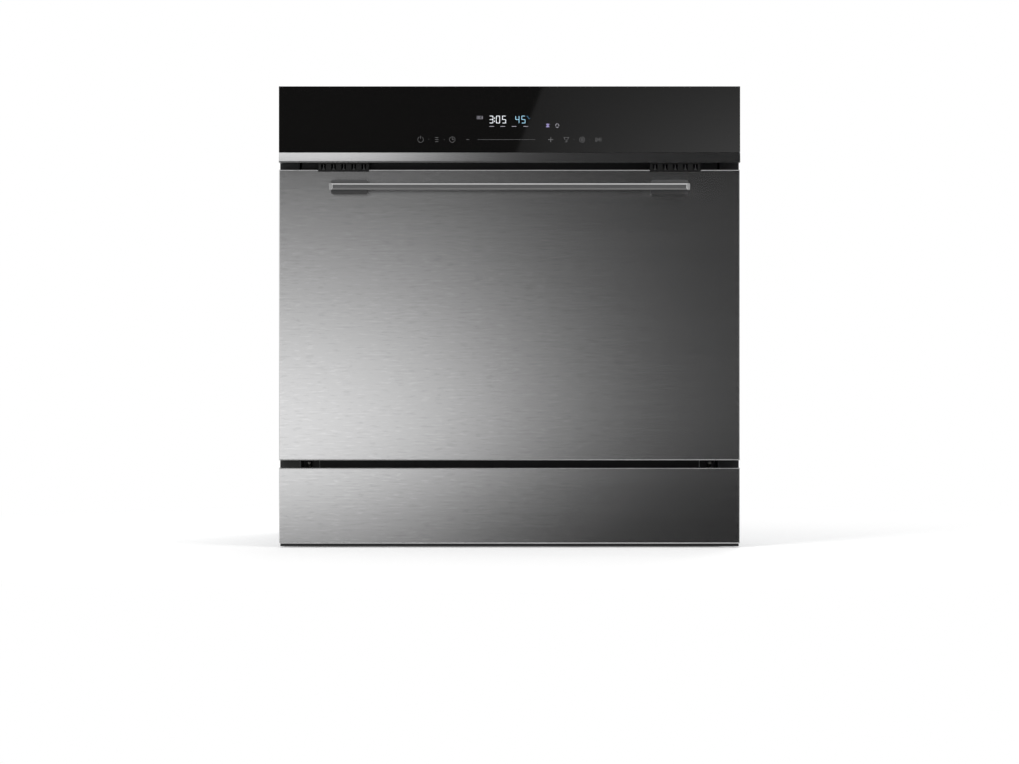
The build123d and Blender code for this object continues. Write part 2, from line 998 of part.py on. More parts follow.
def door_gasket():
    half = gasket_width / 2
    bottom = open_liner_z - gasket_lift
    top = opening_top + gasket_lift
    y_span = (door_thickness + seam, tub_face_y)
    outer = block((-gasket_x - half, gasket_x + half), y_span, (bottom, top + half))
    inner = block((-gasket_x + half, gasket_x - half), y_span, (bottom, top - half))
    loop = outer - inner
    strip = block((-gasket_x + half, gasket_x - half), y_span, (bottom, bottom + gasket_width))
    return loop + strip


def hinge_brackets():
    lug = block(
        (lug_inner_x, web_x - frame_sheet),
        (hinge_y, lug_back_y),
        (hinge_z - pin_boss, hinge_z + pin_boss),
    )
    boss = bar((lug_inner_x, hinge_y, hinge_z), (web_x - frame_sheet, hinge_y, hinge_z), pin_boss)
    base = block(
        (web_x - frame_sheet - lug_base_sheet, web_x - frame_sheet),
        (frame_face_y, lug_back_y),
        (hinge_z - lug_base_half, hinge_z + lug_base_half),
    )
    pin = bar(
        (inner_half_width - pin_overhang, hinge_y, hinge_z),
        (web_x - frame_sheet, hinge_y, hinge_z),
        pin_radius,
    )
    return both_sides(lug + boss + base + pin)


def hinge_arms():
    boss = bar((arm_inner_x, hinge_y, hinge_z), (arm_outer_x, hinge_y, hinge_z), arm_boss)
    web = side_plate(
        [
            (hinge_y, hinge_z - arm_boss),
            (eye_y, eye_z - eye_boss),
            (arm_back_y, hinge_z),
            (arm_back_y, arm_top_z),
            (arm_front_y, arm_top_z),
            (arm_front_y, hinge_z + arm_boss),
            (hinge_y, hinge_z + arm_boss),
        ],
        (arm_inner_x, arm_outer_x),
    )
    eye = bar((arm_inner_x, eye_y, eye_z), (arm_outer_x, eye_y, eye_z), eye_boss)
    pin_hole = bar(
        (arm_inner_x, hinge_y, hinge_z),
        (arm_outer_x, hinge_y, hinge_z),
        pin_radius + running_fit,
    )
    eye_hole = bar((arm_inner_x, eye_y, eye_z), (arm_outer_x, eye_y, eye_z), eye_hole_radius)
    return both_sides(boss + web + eye - pin_hole - eye_hole)


def door_springs():
    hook = Vector(spring_x, eye_y, eye_z)
    anchor = Vector(spring_x, spring_anchor_y, spring_anchor_z)
    start = hook + (anchor - hook) * spring_start_share
    end = hook + (anchor - hook) * spring_end_share
    coil = bar(start, end, spring_radius)
    wire = bar(hook, anchor, spring_wire_radius)
    cross = bar(hook, (arm_outer_x + seam, eye_y, eye_z), spring_wire_radius)
    peg = bar(anchor, (half_body - sheet, spring_anchor_y, spring_anchor_z), spring_wire_radius)
    return both_sides(coil + wire + cross + peg)


# Water system

def sump():
    x_span = (-sump_half_width, sump_half_width)
    basin = block(x_span, (sump_front, sump_back), (sump_bottom, tub_floor))
    basin = fillet(basin.edges().filter_by(Axis.Z), sump_corner + sump_wall)
    rim = block(
        (x_span[0] - sump_rim, x_span[1] + sump_rim),
        (sump_front - sump_rim, sump_back + sump_rim),
        (tub_floor - sump_wall, tub_floor),
    )
    room = block(
        (x_span[0] + sump_wall, x_span[1] - sump_wall),
        (sump_front + sump_wall, sump_back - sump_wall),
        (sump_bottom + sump_wall, tub_floor),
    )
    room = fillet(room.edges().filter_by(Axis.Z), sump_corner)
    duct = bar((0, hub_y, sump_bottom), (0, hub_y, duct_top), duct_radius)
    duct_room = bar((0, hub_y, sump_bottom + sump_wall), (0, hub_y, duct_top), duct_bore)
    pump_port = bar(
        (sump_half_width - sump_wall, pump_y, pump_z),
        (sump_half_width, pump_y, pump_z),
        port_bore,
    )
    drain_port = bar(
        (-sump_half_width, drain_pump_y, pump_z),
        (-sump_half_width + sump_wall, drain_pump_y, pump_z),
        port_bore,
    )
    return basin + rim - room + duct - duct_room - pump_port - drain_port


def flat_filter():
    x_span = (-sump_half_width - filter_lap, sump_half_width + filter_lap)
    plate = block(
        x_span,
        (sump_front - filter_lap, sump_back + filter_lap),
        (filter_plate_bottom, filter_plate_bottom + frame_sheet),
    )
    plate = fillet(plate.edges().filter_by(Axis.Z), sump_corner)
    top = filter_plate_bottom + frame_sheet
    cup_hole = bar((0, filter_y, filter_plate_bottom), (0, filter_y, top), filter_radius + seam)
    hub_hole = bar((0, hub_y, filter_plate_bottom), (0, hub_y, top), duct_radius + seam)
    return plate - cup_hole - hub_hole


def filter_cup():
    top = filter_plate_bottom + frame_sheet + seam
    body = tube(
        (0, filter_y, filter_cup_bottom),
        (0, filter_y, top),
        filter_radius,
        filter_radius - filter_wall,
    )
    floor = bar(
        (0, filter_y, filter_cup_bottom),
        (0, filter_y, filter_cup_bottom + filter_wall),
        filter_radius,
    )
    rim = tube(
        (0, filter_y, top),
        (0, filter_y, top + filter_wall),
        filter_radius + filter_rim,
        filter_radius - filter_wall,
    )
    grip = block(
        (-filter_radius, filter_radius),
        (filter_y - filter_wall, filter_y + filter_wall),
        (top, top + filter_grip_height),
    )
    return body + floor + rim + grip


def circulation_pump():
    neck = bar((sump_half_width, pump_y, pump_z), (pump_left, pump_y, pump_z), port_radius)
    body = bar((pump_left, pump_y, pump_z), (pump_left + pump_length, pump_y, pump_z), pump_radius)
    body = fillet(body.edges(), pump_edge)
    motor_end = bar(
        (pump_left + pump_length, pump_y, pump_z),
        (pump_left + pump_length + pump_cap, pump_y, pump_z),
        port_radius,
    )
    return neck + body + motor_end


def drain_pump():
    neck = bar(
        (-drain_pump_left, drain_pump_y, pump_z),
        (-sump_half_width, drain_pump_y, pump_z),
        port_radius,
    )
    motor = bar(
        (-drain_pump_left - drain_pump_length, drain_pump_y, pump_z),
        (-drain_pump_left, drain_pump_y, pump_z),
        drain_pump_radius,
    )
    stub_x = -drain_pump_left - drain_pump_length / 2
    stub = bar((stub_x, drain_pump_y, pump_z), (stub_x, drain_stub_y, pump_z), hose_radius)
    return neck + motor + stub


def drain_outlet():
    stub_x = -drain_pump_left - drain_pump_length / 2
    route = FilletPolyline(
        (stub_x, drain_stub_y, pump_z),
        (stub_x, drain_bend_y, pump_z),
        (drain_x, drain_drop_y, outlet_z),
        (drain_x, recess_y + drain_spigot, outlet_z),
        radius=hose_bend_radius,
    )
    section = Plane(origin=(stub_x, drain_stub_y, pump_z), z_dir=(0, 1, 0)) * Circle(hose_radius)
    hose = sweep(section, path=route)
    flange_start = (drain_x, recess_y, outlet_z)
    flange = bar(flange_start, (drain_x, recess_y + outlet_flange, outlet_z), drain_flange_radius)
    return hose + flange


def water_softener():
    tank = block(
        (softener_left, softener_right),
        (softener_front, softener_back),
        (body_bottom + tray_wall, softener_top),
    )
    tank = fillet(tank.edges().filter_by(Axis.Z), softener_corner)
    neck = bar((salt_x, salt_y, softener_top), (salt_x, salt_y, salt_neck_top), salt_neck_radius)
    bore = bar(
        (salt_x, salt_y, salt_bore_bottom),
        (salt_x, salt_y, salt_neck_top),
        salt_bore_radius,
    )
    return tank + neck - bore


def salt_cap():
    base = salt_neck_top + seam
    cap = bar(
        (salt_x, salt_y, base),
        (salt_x, salt_y, base + salt_cap_height),
        salt_neck_radius + salt_cap_lap,
    )
    plug = bar(
        (salt_x, salt_y, base - salt_plug_length),
        (salt_x, salt_y, base),
        salt_bore_radius - running_fit,
    )
    grip = block(
        (salt_x - salt_grip_half, salt_x + salt_grip_half),
        (salt_y - salt_grip_width / 2, salt_y + salt_grip_width / 2),
        (base + salt_cap_height, base + salt_cap_height + salt_grip_height),
    )
    return cap + plug + grip


def float_bell():
    stem = bar(
        (float_x, float_y, float_stem_bottom),
        (float_x, float_y, float_bell_bottom),
        float_stem_radius,
    )
    bell = bar(
        (float_x, float_y, float_bell_bottom),
        (float_x, float_y, float_bell_bottom + float_bell_height),
        float_bell_radius,
    )
    bell = fillet(bell.edges().sort_by(Axis.Z)[-1], float_bell_edge)
    return stem + bell


def inlet_valve():
    body = block(
        (inlet_x - valve_half_width, inlet_x + valve_half_width),
        (recess_y - sheet - valve_depth, recess_y - sheet),
        (outlet_z - valve_half_height, outlet_z + valve_half_height),
    )
    coil_start = (inlet_x, recess_y - sheet - valve_depth / 2, outlet_z + valve_half_height)
    coil_end = (
        inlet_x,
        recess_y - sheet - valve_depth / 2,
        outlet_z + valve_half_height + valve_coil_height,
    )
    coil = bar(coil_start, coil_end, valve_coil_radius)
    thread_y = recess_y + inlet_neck
    thread = tube(
        (inlet_x, thread_y, outlet_z),
        (inlet_x, thread_y + inlet_thread_length, outlet_z),
        inlet_radius,
        inlet_bore,
    )
    neck = tube(
        (inlet_x, recess_y - sheet, outlet_z),
        (inlet_x, thread_y, outlet_z),
        inlet_neck_radius,
        inlet_bore,
    )
    return body + coil + neck + thread


def mains_inlet():
    box = block(
        (mains_x - mains_half_width, mains_x + mains_half_width),
        (recess_y - sheet - mains_depth, recess_y - sheet),
        (outlet_z - mains_half_height, outlet_z + mains_half_height),
    )
    gland = tube(
        (mains_x, recess_y - sheet, outlet_z),
        (mains_x, recess_y + gland_length, outlet_z),
        gland_radius,
        gland_bore,
    )
    return box + gland


def air_break():
    outer_x = -half_body + sheet + seam
    plate = block(
        (outer_x, -tub_half - seam),
        (air_break_front, air_break_back),
        (air_break_bottom, air_break_top),
    )
    plate = fillet(plate.edges().filter_by(Axis.X), air_break_corner)
    first = air_break_bottom + air_break_corner
    last = air_break_top - air_break_corner
    for z in spread(first, last, air_break_channels):
        groove = block(
            (outer_x, outer_x + air_break_groove_depth),
            (air_break_front + air_break_corner, air_break_back - air_break_corner),
            (z - air_break_groove / 2, z + air_break_groove / 2),
        )
        plate = plate - groove
    return plate


def spray_feed():
    # the pipe leaves the sump, runs up behind the tub and over its ceiling to the nozzle
    y = tub_back_y + riser_radius + seam
    route = FilletPolyline(
        (0, sump_back, pump_z),
        (0, y, pump_z),
        (0, y, riser_top),
        (0, hub_y, riser_top),
        (0, hub_y, tub_ceiling),
        radius=riser_bend,
    )
    section = Plane(origin=(0, sump_back, pump_z), z_dir=(0, 1, 0)) * Circle(riser_radius)
    pipe = sweep(section, path=route)
    port = bar((0, y, upper_pipe_z), (0, feed_socket_y, upper_pipe_z), feed_radius)
    socket = bar(
        (0, feed_socket_y + feed_socket_depth, upper_pipe_z),
        (0, feed_socket_y, upper_pipe_z),
        feed_socket_bore,
    )
    return pipe + port - socket


def ceiling_nozzle():
    plate = bar(
        (0, hub_y, tub_ceiling - sheet - nozzle_height),
        (0, hub_y, tub_ceiling - sheet),
        nozzle_radius,
    )
    return chamfer(plate.edges().sort_by(Axis.Z)[0], nozzle_chamfer)


def door_lock():
    body = block((-lock_half, lock_half), (frame_plate_y, lock_back_y), (lock_bottom, lock_top))
    slot = block(
        (-strike_half - strike_play, strike_half + strike_play),
        (frame_plate_y, slot_back_y),
        (slot_bottom, slot_top),
    )
    ears = block(
        (-lock_ear_half, lock_ear_half),
        (frame_back_y, frame_back_y + lock_ear_sheet),
        (lock_bottom, lock_top),
    )
    return body + ears - slot


def rack_guides():
    plate = block(
        (guide_inner_x, tub_inner_half - seam),
        (roller_front_y - guide_end, roller_rear_y + guide_end),
        (rail_z - guide_half_height, rail_z + guide_half_height),
    )
    for y in (roller_front_y, roller_rear_y):
        plate = plate + bar((roller_inner_x, y, rail_z), (guide_inner_x, y, rail_z), axle_radius)
    return both_sides(plate)


def roller_pair(y):
    roller = tube(
        (roller_inner_x + seam, y, rail_z),
        (guide_inner_x - seam, y, rail_z),
        rail_height / 2 - rail_sheet - seam,
        axle_radius + running_fit,
    )
    return both_sides(roller)


# Door

def door_skin():
    pan = front_pan((door_bottom, door_top), skin_depth)
    hinge_notch = block(
        (arm_inner_x - notch_play, web_x),
        (notch_front_y, skin_depth),
        (door_bottom, door_bottom + sheet),
    )
    notches = both_sides(hinge_notch)
    vent_notch = block(
        (vent_x - vent_width / 2 - vent_play, vent_x + vent_width / 2 + vent_play),
        (0, skin_depth),
        (door_top - vent_notch_drop, door_top),
    )
    pan = pan - notches - both_sides(vent_notch)
    for x in (post_x - post_screw_spacing / 2, post_x + post_screw_spacing / 2):
        hole = bar((x, 0, handle_bar_z), (x, sheet, handle_bar_z), post_screw_radius)
        pan = pan - both_sides(hole)
    return pan


def door_liner():
    outer = block(
        (-inner_half_width, inner_half_width),
        (skin_depth, door_thickness),
        (inner_bottom, inner_top),
    )
    outer = fillet(outer.edges().group_by(Axis.Y)[-1], liner_edge_radius)
    field = block(
        (-liner_field_half, liner_field_half),
        (door_thickness - liner_field_depth, door_thickness),
        (liner_field_bottom, liner_field_top),
    )
    field = fillet(field.edges().filter_by(Axis.Y), liner_field_corner)
    flange = block(
        (-half_front + sheet, half_front - sheet),
        (skin_depth - sheet, skin_depth),
        (door_bottom + sheet, door_top - vent_notch_drop - sheet),
    )
    room = block(
        (-inner_half_width + sheet, inner_half_width - sheet),
        (skin_depth - sheet, door_thickness - sheet - liner_field_depth),
        (inner_bottom + sheet, inner_top - sheet),
    )
    cup_hole = block(
        (dispenser_left, dispenser_right),
        (skin_depth, door_thickness),
        (dispenser_bottom, dispenser_top),
    )
    hinge_notch = block(
        (arm_inner_x - notch_play, web_x),
        (skin_depth - sheet, skin_depth),
        (door_bottom, hinge_z + notch_rise),
    )
    return outer + flange - room - field - cup_hole - both_sides(hinge_notch)


def door_insulation():
    slab = block(
        (-inner_half_width + pad_side, inner_half_width - pad_side),
        (sheet + seam, door_thickness - liner_field_depth - sheet - seam),
        (door_bottom + pad_side, inner_top - pad_side),
    )
    cup_room = block(
        (dispenser_left - seam, dispenser_right + seam),
        (dispenser_back_y - seam, door_thickness),
        (dispenser_bottom - seam, dispenser_top + seam),
    )
    screw_room = both_sides(
        block(
            (post_x - post_width / 2, post_x + post_width / 2),
            (0, post_screw_reach + seam),
            (handle_bar_z - post_height / 2, handle_bar_z + post_height / 2),
        )
    )
    return slab - cup_room - screw_room


def handle_bar():
    y_back = -handle_reach + handle_bar_depth
    bar_body = block(
        (-handle_half, handle_half),
        (-handle_reach, y_back),
        (handle_bar_z - handle_bar_height / 2, handle_bar_z + handle_bar_height / 2),
    )
    front = bar_body.faces().sort_by(Axis.Y)[0]
    ends = front.edges().filter_by(Axis.Z)
    bar_body = chamfer(ends, handle_end_chamfer)
    long_edges = bar_body.faces().sort_by(Axis.Y)[0].edges().filter_by(Axis.X)
    return chamfer(long_edges, handle_edge_chamfer)


def handle_posts():
    y_back = -handle_reach + handle_bar_depth
    post = block(
        (post_x - post_width / 2, post_x + post_width / 2),
        (y_back, 0),
        (handle_bar_z - post_height / 2, handle_bar_z + post_height / 2),
    )
    post = fillet(post.edges().filter_by(Axis.Y), post_edge_radius)
    for x in (post_x - post_screw_spacing / 2, post_x + post_screw_spacing / 2):
        post = post + bar(
            (x, 0, handle_bar_z),
            (x, post_screw_reach, handle_bar_z),
            post_screw_radius,
        )
    return both_sides(post)


def dispenser_body():
    body = block(
        (dispenser_left, dispenser_right),
        (dispenser_back_y, dispenser_plate_y),
        (dispenser_bottom, dispenser_top),
    )
    plate = block(
        (dispenser_left - dispenser_lap, dispenser_right + dispenser_lap),
        (dispenser_plate_y, dispenser_plate_y + dispenser_plate),
        (dispenser_bottom - dispenser_lap, dispenser_top + dispenser_lap),
    )
    plate = fillet(plate.edges().filter_by(Axis.Y), dispenser_corner)
    cup = block((cup_left, cup_right), (cup_back_y, dispenser_face_y), (cup_bottom, cup_top))
    cup = fillet(cup.edges().filter_by(Axis.Y), cup_corner)
    cap_bore = bar(
        (cap_x, cap_bore_y, cap_z),
        (cap_x, dispenser_face_y, cap_z),
        cap_stub_radius + running_fit,
    )
    button_room = block(
        (button_left - seam, button_right + seam),
        (button_back_y - button_travel - seam, dispenser_face_y),
        (button_bottom - seam, button_top + seam),
    )
    for z in (cup_bottom - lid_lap - seam - lid_guide, cup_top + lid_lap + seam):
        guide = block(
            (dispenser_left, cup_right + lid_lap),
            (dispenser_face_y, dispenser_face_y + lid_guide_height),
            (z, z + lid_guide),
        )
        plate = plate + guide
    return body + plate - cup - cap_bore - button_room


def detergent_lid():
    lid = block(
        (cup_left - lid_lap, cup_right + lid_lap),
        (dispenser_face_y + seam, dispenser_face_y + seam + lid_sheet),
        (cup_bottom - lid_lap, cup_top + lid_lap),
    )
    grip = block(
        (cup_right - lid_grip, cup_right),
        (dispenser_face_y + seam + lid_sheet, dispenser_face_y + seam + 2 * lid_sheet),
        (cup_bottom, cup_top),
    )
    return lid + grip


def rinse_aid_cap():
    face = dispenser_face_y + seam
    cap = bar((cap_x, face, cap_z), (cap_x, face + cap_height, cap_z), cap_radius)
    stub = bar((cap_x, cap_bore_y + seam, cap_z), (cap_x, face, cap_z), cap_stub_radius)
    grip = block(
        (cap_x - cap_radius + cap_grip_width, cap_x + cap_radius - cap_grip_width),
        (face + cap_height, face + cap_height + cap_grip_height),
        (cap_z - cap_grip_width / 2, cap_z + cap_grip_width / 2),
    )
    return cap + stub + grip


def dispenser_button():
    return block(
        (button_left, button_right),
        (button_back_y, dispenser_face_y + button_proud),
        (button_bottom, button_top),
    )


def door_strike():
    tongue = block(
        (-strike_half, strike_half),
        (door_thickness, strike_tip_y),
        (strike_bottom, strike_top),
    )
    window = block(
        (-strike_half + strike_bar, strike_half - strike_bar),
        (door_thickness + strike_bar, strike_tip_y - strike_bar),
        (strike_bottom, strike_top),
    )
    return tongue - window


# Racks and spray arms

def floor_grid(half, front, back, z):
    low_z = z - 2 * wire_radius + weld_gap
    wires = [
        bar(
            (x, front, z),
            (x, back, z),
            wire_radius,
        ) for x in spread(-half, half, floor_wires_along)
    ]
    for y in spread(front, back, floor_wires_across):
        wires.append(bar((-half, y, low_z), (half, y, low_z), wire_radius))
    return joined(wires)


def side_grid(x, front, back, z, rim):
    low = z + 2 * wire_radius + weld_gap
    wires = [
        bar((x, front, low), (x, back, low), wire_radius),
        bar((x, front, rim), (x, back, rim), rim_radius),
    ]
    for y in spread(front, back, side_wires):
        wires.append(bar((x, y, low), (x, y, rim), upright_radius))
    return joined(wires)


def end_grid(y, half, z, rim):
    low = z + 2 * wire_radius + weld_gap
    reach = half - rim_radius - weld_gap
    wires = [
        bar((-reach, y, low), (reach, y, low), wire_radius),
        bar((-reach, y, rim), (reach, y, rim), rim_radius),
    ]
    for x in spread(-reach + wire_radius, reach - wire_radius, end_wires):
        wires.append(bar((x, y, low), (x, y, rim), upright_radius))
    return joined(wires)


def basket_shell(half, front, back, z, rim):
    grids = [
        floor_grid(half, front, back, z),
        side_grid(half, front, back, z, rim),
        side_grid(-half, front, back, z, rim),
        end_grid(front, half, z, rim),
        end_grid(back, half, z, rim),
    ]
    return grids


def comb(y, z, base_radius, half):
    teeth = [bar((-half, y, z), (half, y, z), base_radius)]
    for x in spread(-tine_span_half, tine_span_half, tine_count):
        teeth.append(bar((x, y, z), (x, y, z + tine_height), tine_radius))
    return joined(teeth)


def lower_rack():
    solids = basket_shell(
        lower_rack_half,
        lower_rack_front,
        lower_rack_back,
        lower_rack_floor,
        lower_rack_rim,
    )
    for y in spread(fixed_tines_first, fixed_tines_last, fixed_tine_rows):
        base_z = lower_rack_floor + 2 * wire_radius + weld_gap
        solids.append(comb(y, base_z, wire_radius, tine_span_half + wire_radius))
    for x in (-tine_clip_x, tine_clip_x):
        clip = block(
            (x - tine_clip_width / 2, x + tine_clip_width / 2),
            (tine_row_y - tine_clip_half, tine_row_y + tine_clip_half),
            (lower_rack_floor + wire_radius + weld_gap, tine_axis_z + tine_clip_half),
        )
        bore = bar(
            (x - tine_clip_width, tine_row_y, tine_axis_z),
            (x + tine_clip_width, tine_row_y, tine_axis_z),
            wire_radius + running_fit,
        )
        solids.append(clip - bore)
    for y in (wheel_front_y, wheel_rear_y):
        for side in (-1, 1):
            solids.append(wheel_bracket(side, y))
    return Part([solid for shape in solids for solid in shape.solids()])


def wheel_bracket(side, y):
    inner = lower_rack_half + wire_radius + weld_gap
    plate = block(
        (inner, bracket_outer_x),
        (y - bracket_half, y + bracket_half),
        (wheel_z - bracket_drop, lower_rack_floor + wire_radius),
    )
    axle = bar((bracket_outer_x, y, wheel_z), (wheel_outer_x + seam, y, wheel_z), axle_radius)
    head = bar(
        (wheel_outer_x + seam, y, wheel_z),
        (wheel_outer_x + seam + head_sheet, y, wheel_z),
        head_radius,
    )
    bracket = plate + axle + head
    return bracket if side > 0 else mirror(bracket, Plane.YZ)


def wheel_pair(y):
    wheel = bar((wheel_inner_x, y, wheel_z), (wheel_outer_x, y, wheel_z), wheel_radius)
    wheel = fillet(wheel.edges(), wheel_edge)
    wheel = wheel - bar(
        (wheel_inner_x, y, wheel_z),
        (wheel_outer_x, y, wheel_z),
        axle_radius + running_fit,
    )
    return both_sides(wheel)


def tine_row():
    return comb(tine_row_y, tine_axis_z, wire_radius, tine_clip_x + tine_clip_width / 2 + weld_gap)


def cutlery_basket():
    x_span = (cutlery_left, cutlery_right)
    y_span = (cutlery_front, cutlery_back)
    z_span = (cutlery_bottom, cutlery_top)
    tray = block(x_span, y_span, z_span)
    tray = fillet(tray.edges().filter_by(Axis.Z), cutlery_corner)
    room_width = (cutlery_right - cutlery_left - (cutlery_rooms + 1) * cutlery_wall) / cutlery_rooms
    for index in range(cutlery_rooms):
        left = cutlery_left + cutlery_wall + index * (room_width + cutlery_wall)
        room = block(
            (left, left + room_width),
            (cutlery_front + cutlery_wall, cutlery_back - cutlery_wall),
            (cutlery_bottom + cutlery_wall, cutlery_top),
        )
        tray = tray - room
    pitch = (cutlery_right - cutlery_left) / cutlery_slits
    for index in range(cutlery_slits):
        x = cutlery_left + pitch * (index + 0.5)
        slit = block(
            (x - cutlery_slit / 2, x + cutlery_slit / 2),
            (cutlery_front, cutlery_back),
            (cutlery_bottom + cutlery_slit_margin, cutlery_top - cutlery_slit_margin),
        )
        wall_room = block(
            x_span,
            (cutlery_front + cutlery_wall, cutlery_back - cutlery_wall),
            z_span,
        )
        tray = tray - (slit - wall_room)
    return tray


def upper_rack():
    solids = basket_shell(
        upper_rack_half,
        upper_rack_front,
        upper_rack_back,
        upper_rack_floor,
        upper_rack_rim,
    )
    for side in (-1, 1):
        solids.append(rack_rail(side))
        for y in shelf_clips_y:
            solids.append(shelf_clip(side, y))
    pipe = bar((0, hub_y, upper_pipe_z), (0, upper_pipe_end, upper_pipe_z), upper_pipe_radius)
    stub = bar(
        (0, hub_y, upper_nut_bottom),
        (0, hub_y, upper_pipe_z + upper_pipe_radius),
        upper_pipe_radius,
    )
    nut = bar((0, hub_y, upper_nut_bottom), (0, hub_y, upper_arm_bottom - seam), upper_nut_radius)
    solids.append(pipe + stub + nut)
    solids.append(rack_grip())
    return Part([solid for shape in solids for solid in shape.solids()])


def rack_rail(side):
    y_span = (upper_rack_front, upper_rack_back)
    rail_bottom = rail_z - rail_height / 2
    rail_top = rail_z + rail_height / 2
    rail = block((rail_inner_x, rail_inner_x + rail_sheet), y_span, (rail_bottom, rail_top))
    for z in (rail_bottom, rail_top - rail_sheet):
        flange = block((rail_inner_x, rail_inner_x + rail_depth), y_span, (z, z + rail_sheet))
        rail = rail + flange
    for y in shelf_clips_y:
        pad = block(
            (upper_rack_half + wire_radius + weld_gap, rail_inner_x),
            (y - rail_pad_half, y + rail_pad_half),
            (rail_z - rail_pad_half, rail_z + rail_pad_half),
        )
        rail = rail + pad
    return rail if side > 0 else mirror(rail, Plane.YZ)


def shelf_clip(side, y):
    outer = upper_rack_half - wire_radius - weld_gap
    clip = block(
        (shelf_axis_x - shelf_clip_half, outer),
        (y - shelf_clip_half, y + shelf_clip_half),
        (shelf_z - shelf_clip_half, shelf_z + shelf_clip_half),
    )
    clip = clip - bar(
        (shelf_axis_x, y - shelf_clip_half, shelf_z),
        (shelf_axis_x, y + shelf_clip_half, shelf_z),
        tine_radius + running_fit,
    )
    return clip if side > 0 else mirror(clip, Plane.YZ)


def rack_grip():
    back = upper_rack_front - rim_radius - weld_gap
    grip = block(
        (-grip_half, grip_half),
        (back - rack_grip_depth, back),
        (upper_rack_rim - rack_grip_height, upper_rack_rim),
    )
    return fillet(grip.edges().filter_by(Axis.Y), rack_grip_corner)


def cup_shelf(side):
    first, last = shelf_clips_y
    free_x = shelf_axis_x - shelf_width
    axis_start = first - shelf_clip_half - weld_gap
    axis_end = last + shelf_clip_half + weld_gap
    free_start = first + shelf_end_inset
    free_end = last - shelf_end_inset
    wires = [
        bar((shelf_axis_x, axis_start, shelf_z), (shelf_axis_x, axis_end, shelf_z), tine_radius),
        bar((free_x, free_start, shelf_z), (free_x, free_end, shelf_z), tine_radius),
    ]
    for y in spread(free_start + tine_radius, free_end - tine_radius, shelf_wires):
        wires.append(bar((free_x, y, shelf_z), (shelf_axis_x, y, shelf_z), shelf_wire_radius))
    shelf = joined(wires)
    return shelf if side > 0 else mirror(shelf, Plane.YZ)


def spray_arm(bottom, hub_bottom, hub_radius, bore, bore_top):
    outline = [
        (-spray_half_length, -spray_tip_width / 2),
        (0, -spray_hub_width / 2),
        (spray_half_length, -spray_tip_width / 2),
        (spray_half_length, spray_tip_width / 2),
        (0, spray_hub_width / 2),
        (-spray_half_length, spray_tip_width / 2),
    ]
    face = make_face(Polyline(*[(x, hub_y + y, bottom) for x, y in outline], close=True))
    arm = extrude(face, amount=spray_arm_height, dir=(0, 0, 1))
    arm = fillet(arm.edges().group_by(Axis.Z)[-1], spray_edge)
    for x in spread(spray_jet_first, spray_jet_last, spray_jets):
        for place in (x, -x):
            jet = bar(
                (place, hub_y, bottom + spray_arm_height - spray_jet_depth),
                (place, hub_y, bottom + spray_arm_height),
                spray_jet_radius,
            )
            arm = arm - jet
    hub = bar((0, hub_y, hub_bottom), (0, hub_y, bottom + spray_arm_height), hub_radius)
    return arm + hub - bar((0, hub_y, hub_bottom), (0, hub_y, bore_top), bore)


save("base_tray", base_tray())
save("side_panel_right", side_panel())
save("side_panel_left", mirror(side_panel(), Plane.YZ))
save("top_panel", top_panel())
save("back_panel", back_panel())
save("front_frame", front_frame())
save("toe_plate", toe_plate())
save("lower_panel", lower_panel())
save("tub", tub())
save("door_gasket", door_gasket())
save("control_glass", control_glass())
save("control_housing", control_housing())
save("control_board", control_board())
save("trim_strip", trim_strip())
save("vent_grille_left", vent_grille(-vent_x))
save("vent_grille_right", vent_grille(vent_x))
save("sump", sump())
save("flat_filter", flat_filter())
save("filter_cup", filter_cup())
save("circulation_pump", circulation_pump())
save("drain_pump", drain_pump())
save("drain_outlet", drain_outlet())
save("water_softener", water_softener())
save("salt_cap", salt_cap())
save("float_bell", float_bell())
save("inlet_valve", inlet_valve())
save("mains_inlet", mains_inlet())
save("air_break", air_break())
save("spray_feed", Part(spray_feed().solids() + ceiling_nozzle().solids()))
save("door_lock", door_lock())
save("hinge_brackets", hinge_brackets())
save("door_springs", door_springs())
save("rack_guides", rack_guides())
save("rack_rollers_front", roller_pair(roller_front_y))
save("rack_rollers_rear", roller_pair(roller_rear_y))
save("door_skin", door_skin())
save("door_liner", door_liner())
save("door_insulation", door_insulation())
save("handle_bar", handle_bar())
save("handle_posts", handle_posts())
save("hinge_arms", hinge_arms())
save("dispenser_body", dispenser_body())
save("detergent_lid", detergent_lid())
save("rinse_aid_cap", rinse_aid_cap())
save("dispenser_button", dispenser_button())
save("door_strike", door_strike())
save("lower_rack", lower_rack())
save("lower_wheels_front", wheel_pair(wheel_front_y))
save("lower_wheels_rear", wheel_pair(wheel_rear_y))
save("tine_row", tine_row())
save("cutlery_basket", cutlery_basket())
save("upper_rack", upper_rack())
save("cup_shelf_right", cup_shelf(1))
save("cup_shelf_left", cup_shelf(-1))
save(
    "lower_spray_arm",
    spray_arm(
        spray_arm_bottom,
        lower_hub_bottom,
        lower_hub_radius,
        duct_radius + running_fit,
        duct_top + seam,
    ),
)
save(
    "upper_spray_arm",
    spray_arm(
        upper_arm_bottom,
        upper_arm_bottom,
        upper_hub_radius,
        upper_pipe_radius + running_fit,
        upper_arm_bottom + spray_arm_height,
    ),
)
for index, (x, y) in enumerate(foot_places):
    save("foot_" + str(index + 1), foot(x, y))
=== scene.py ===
import math

import bmesh
import bpy
from mathutils import Matrix, Vector


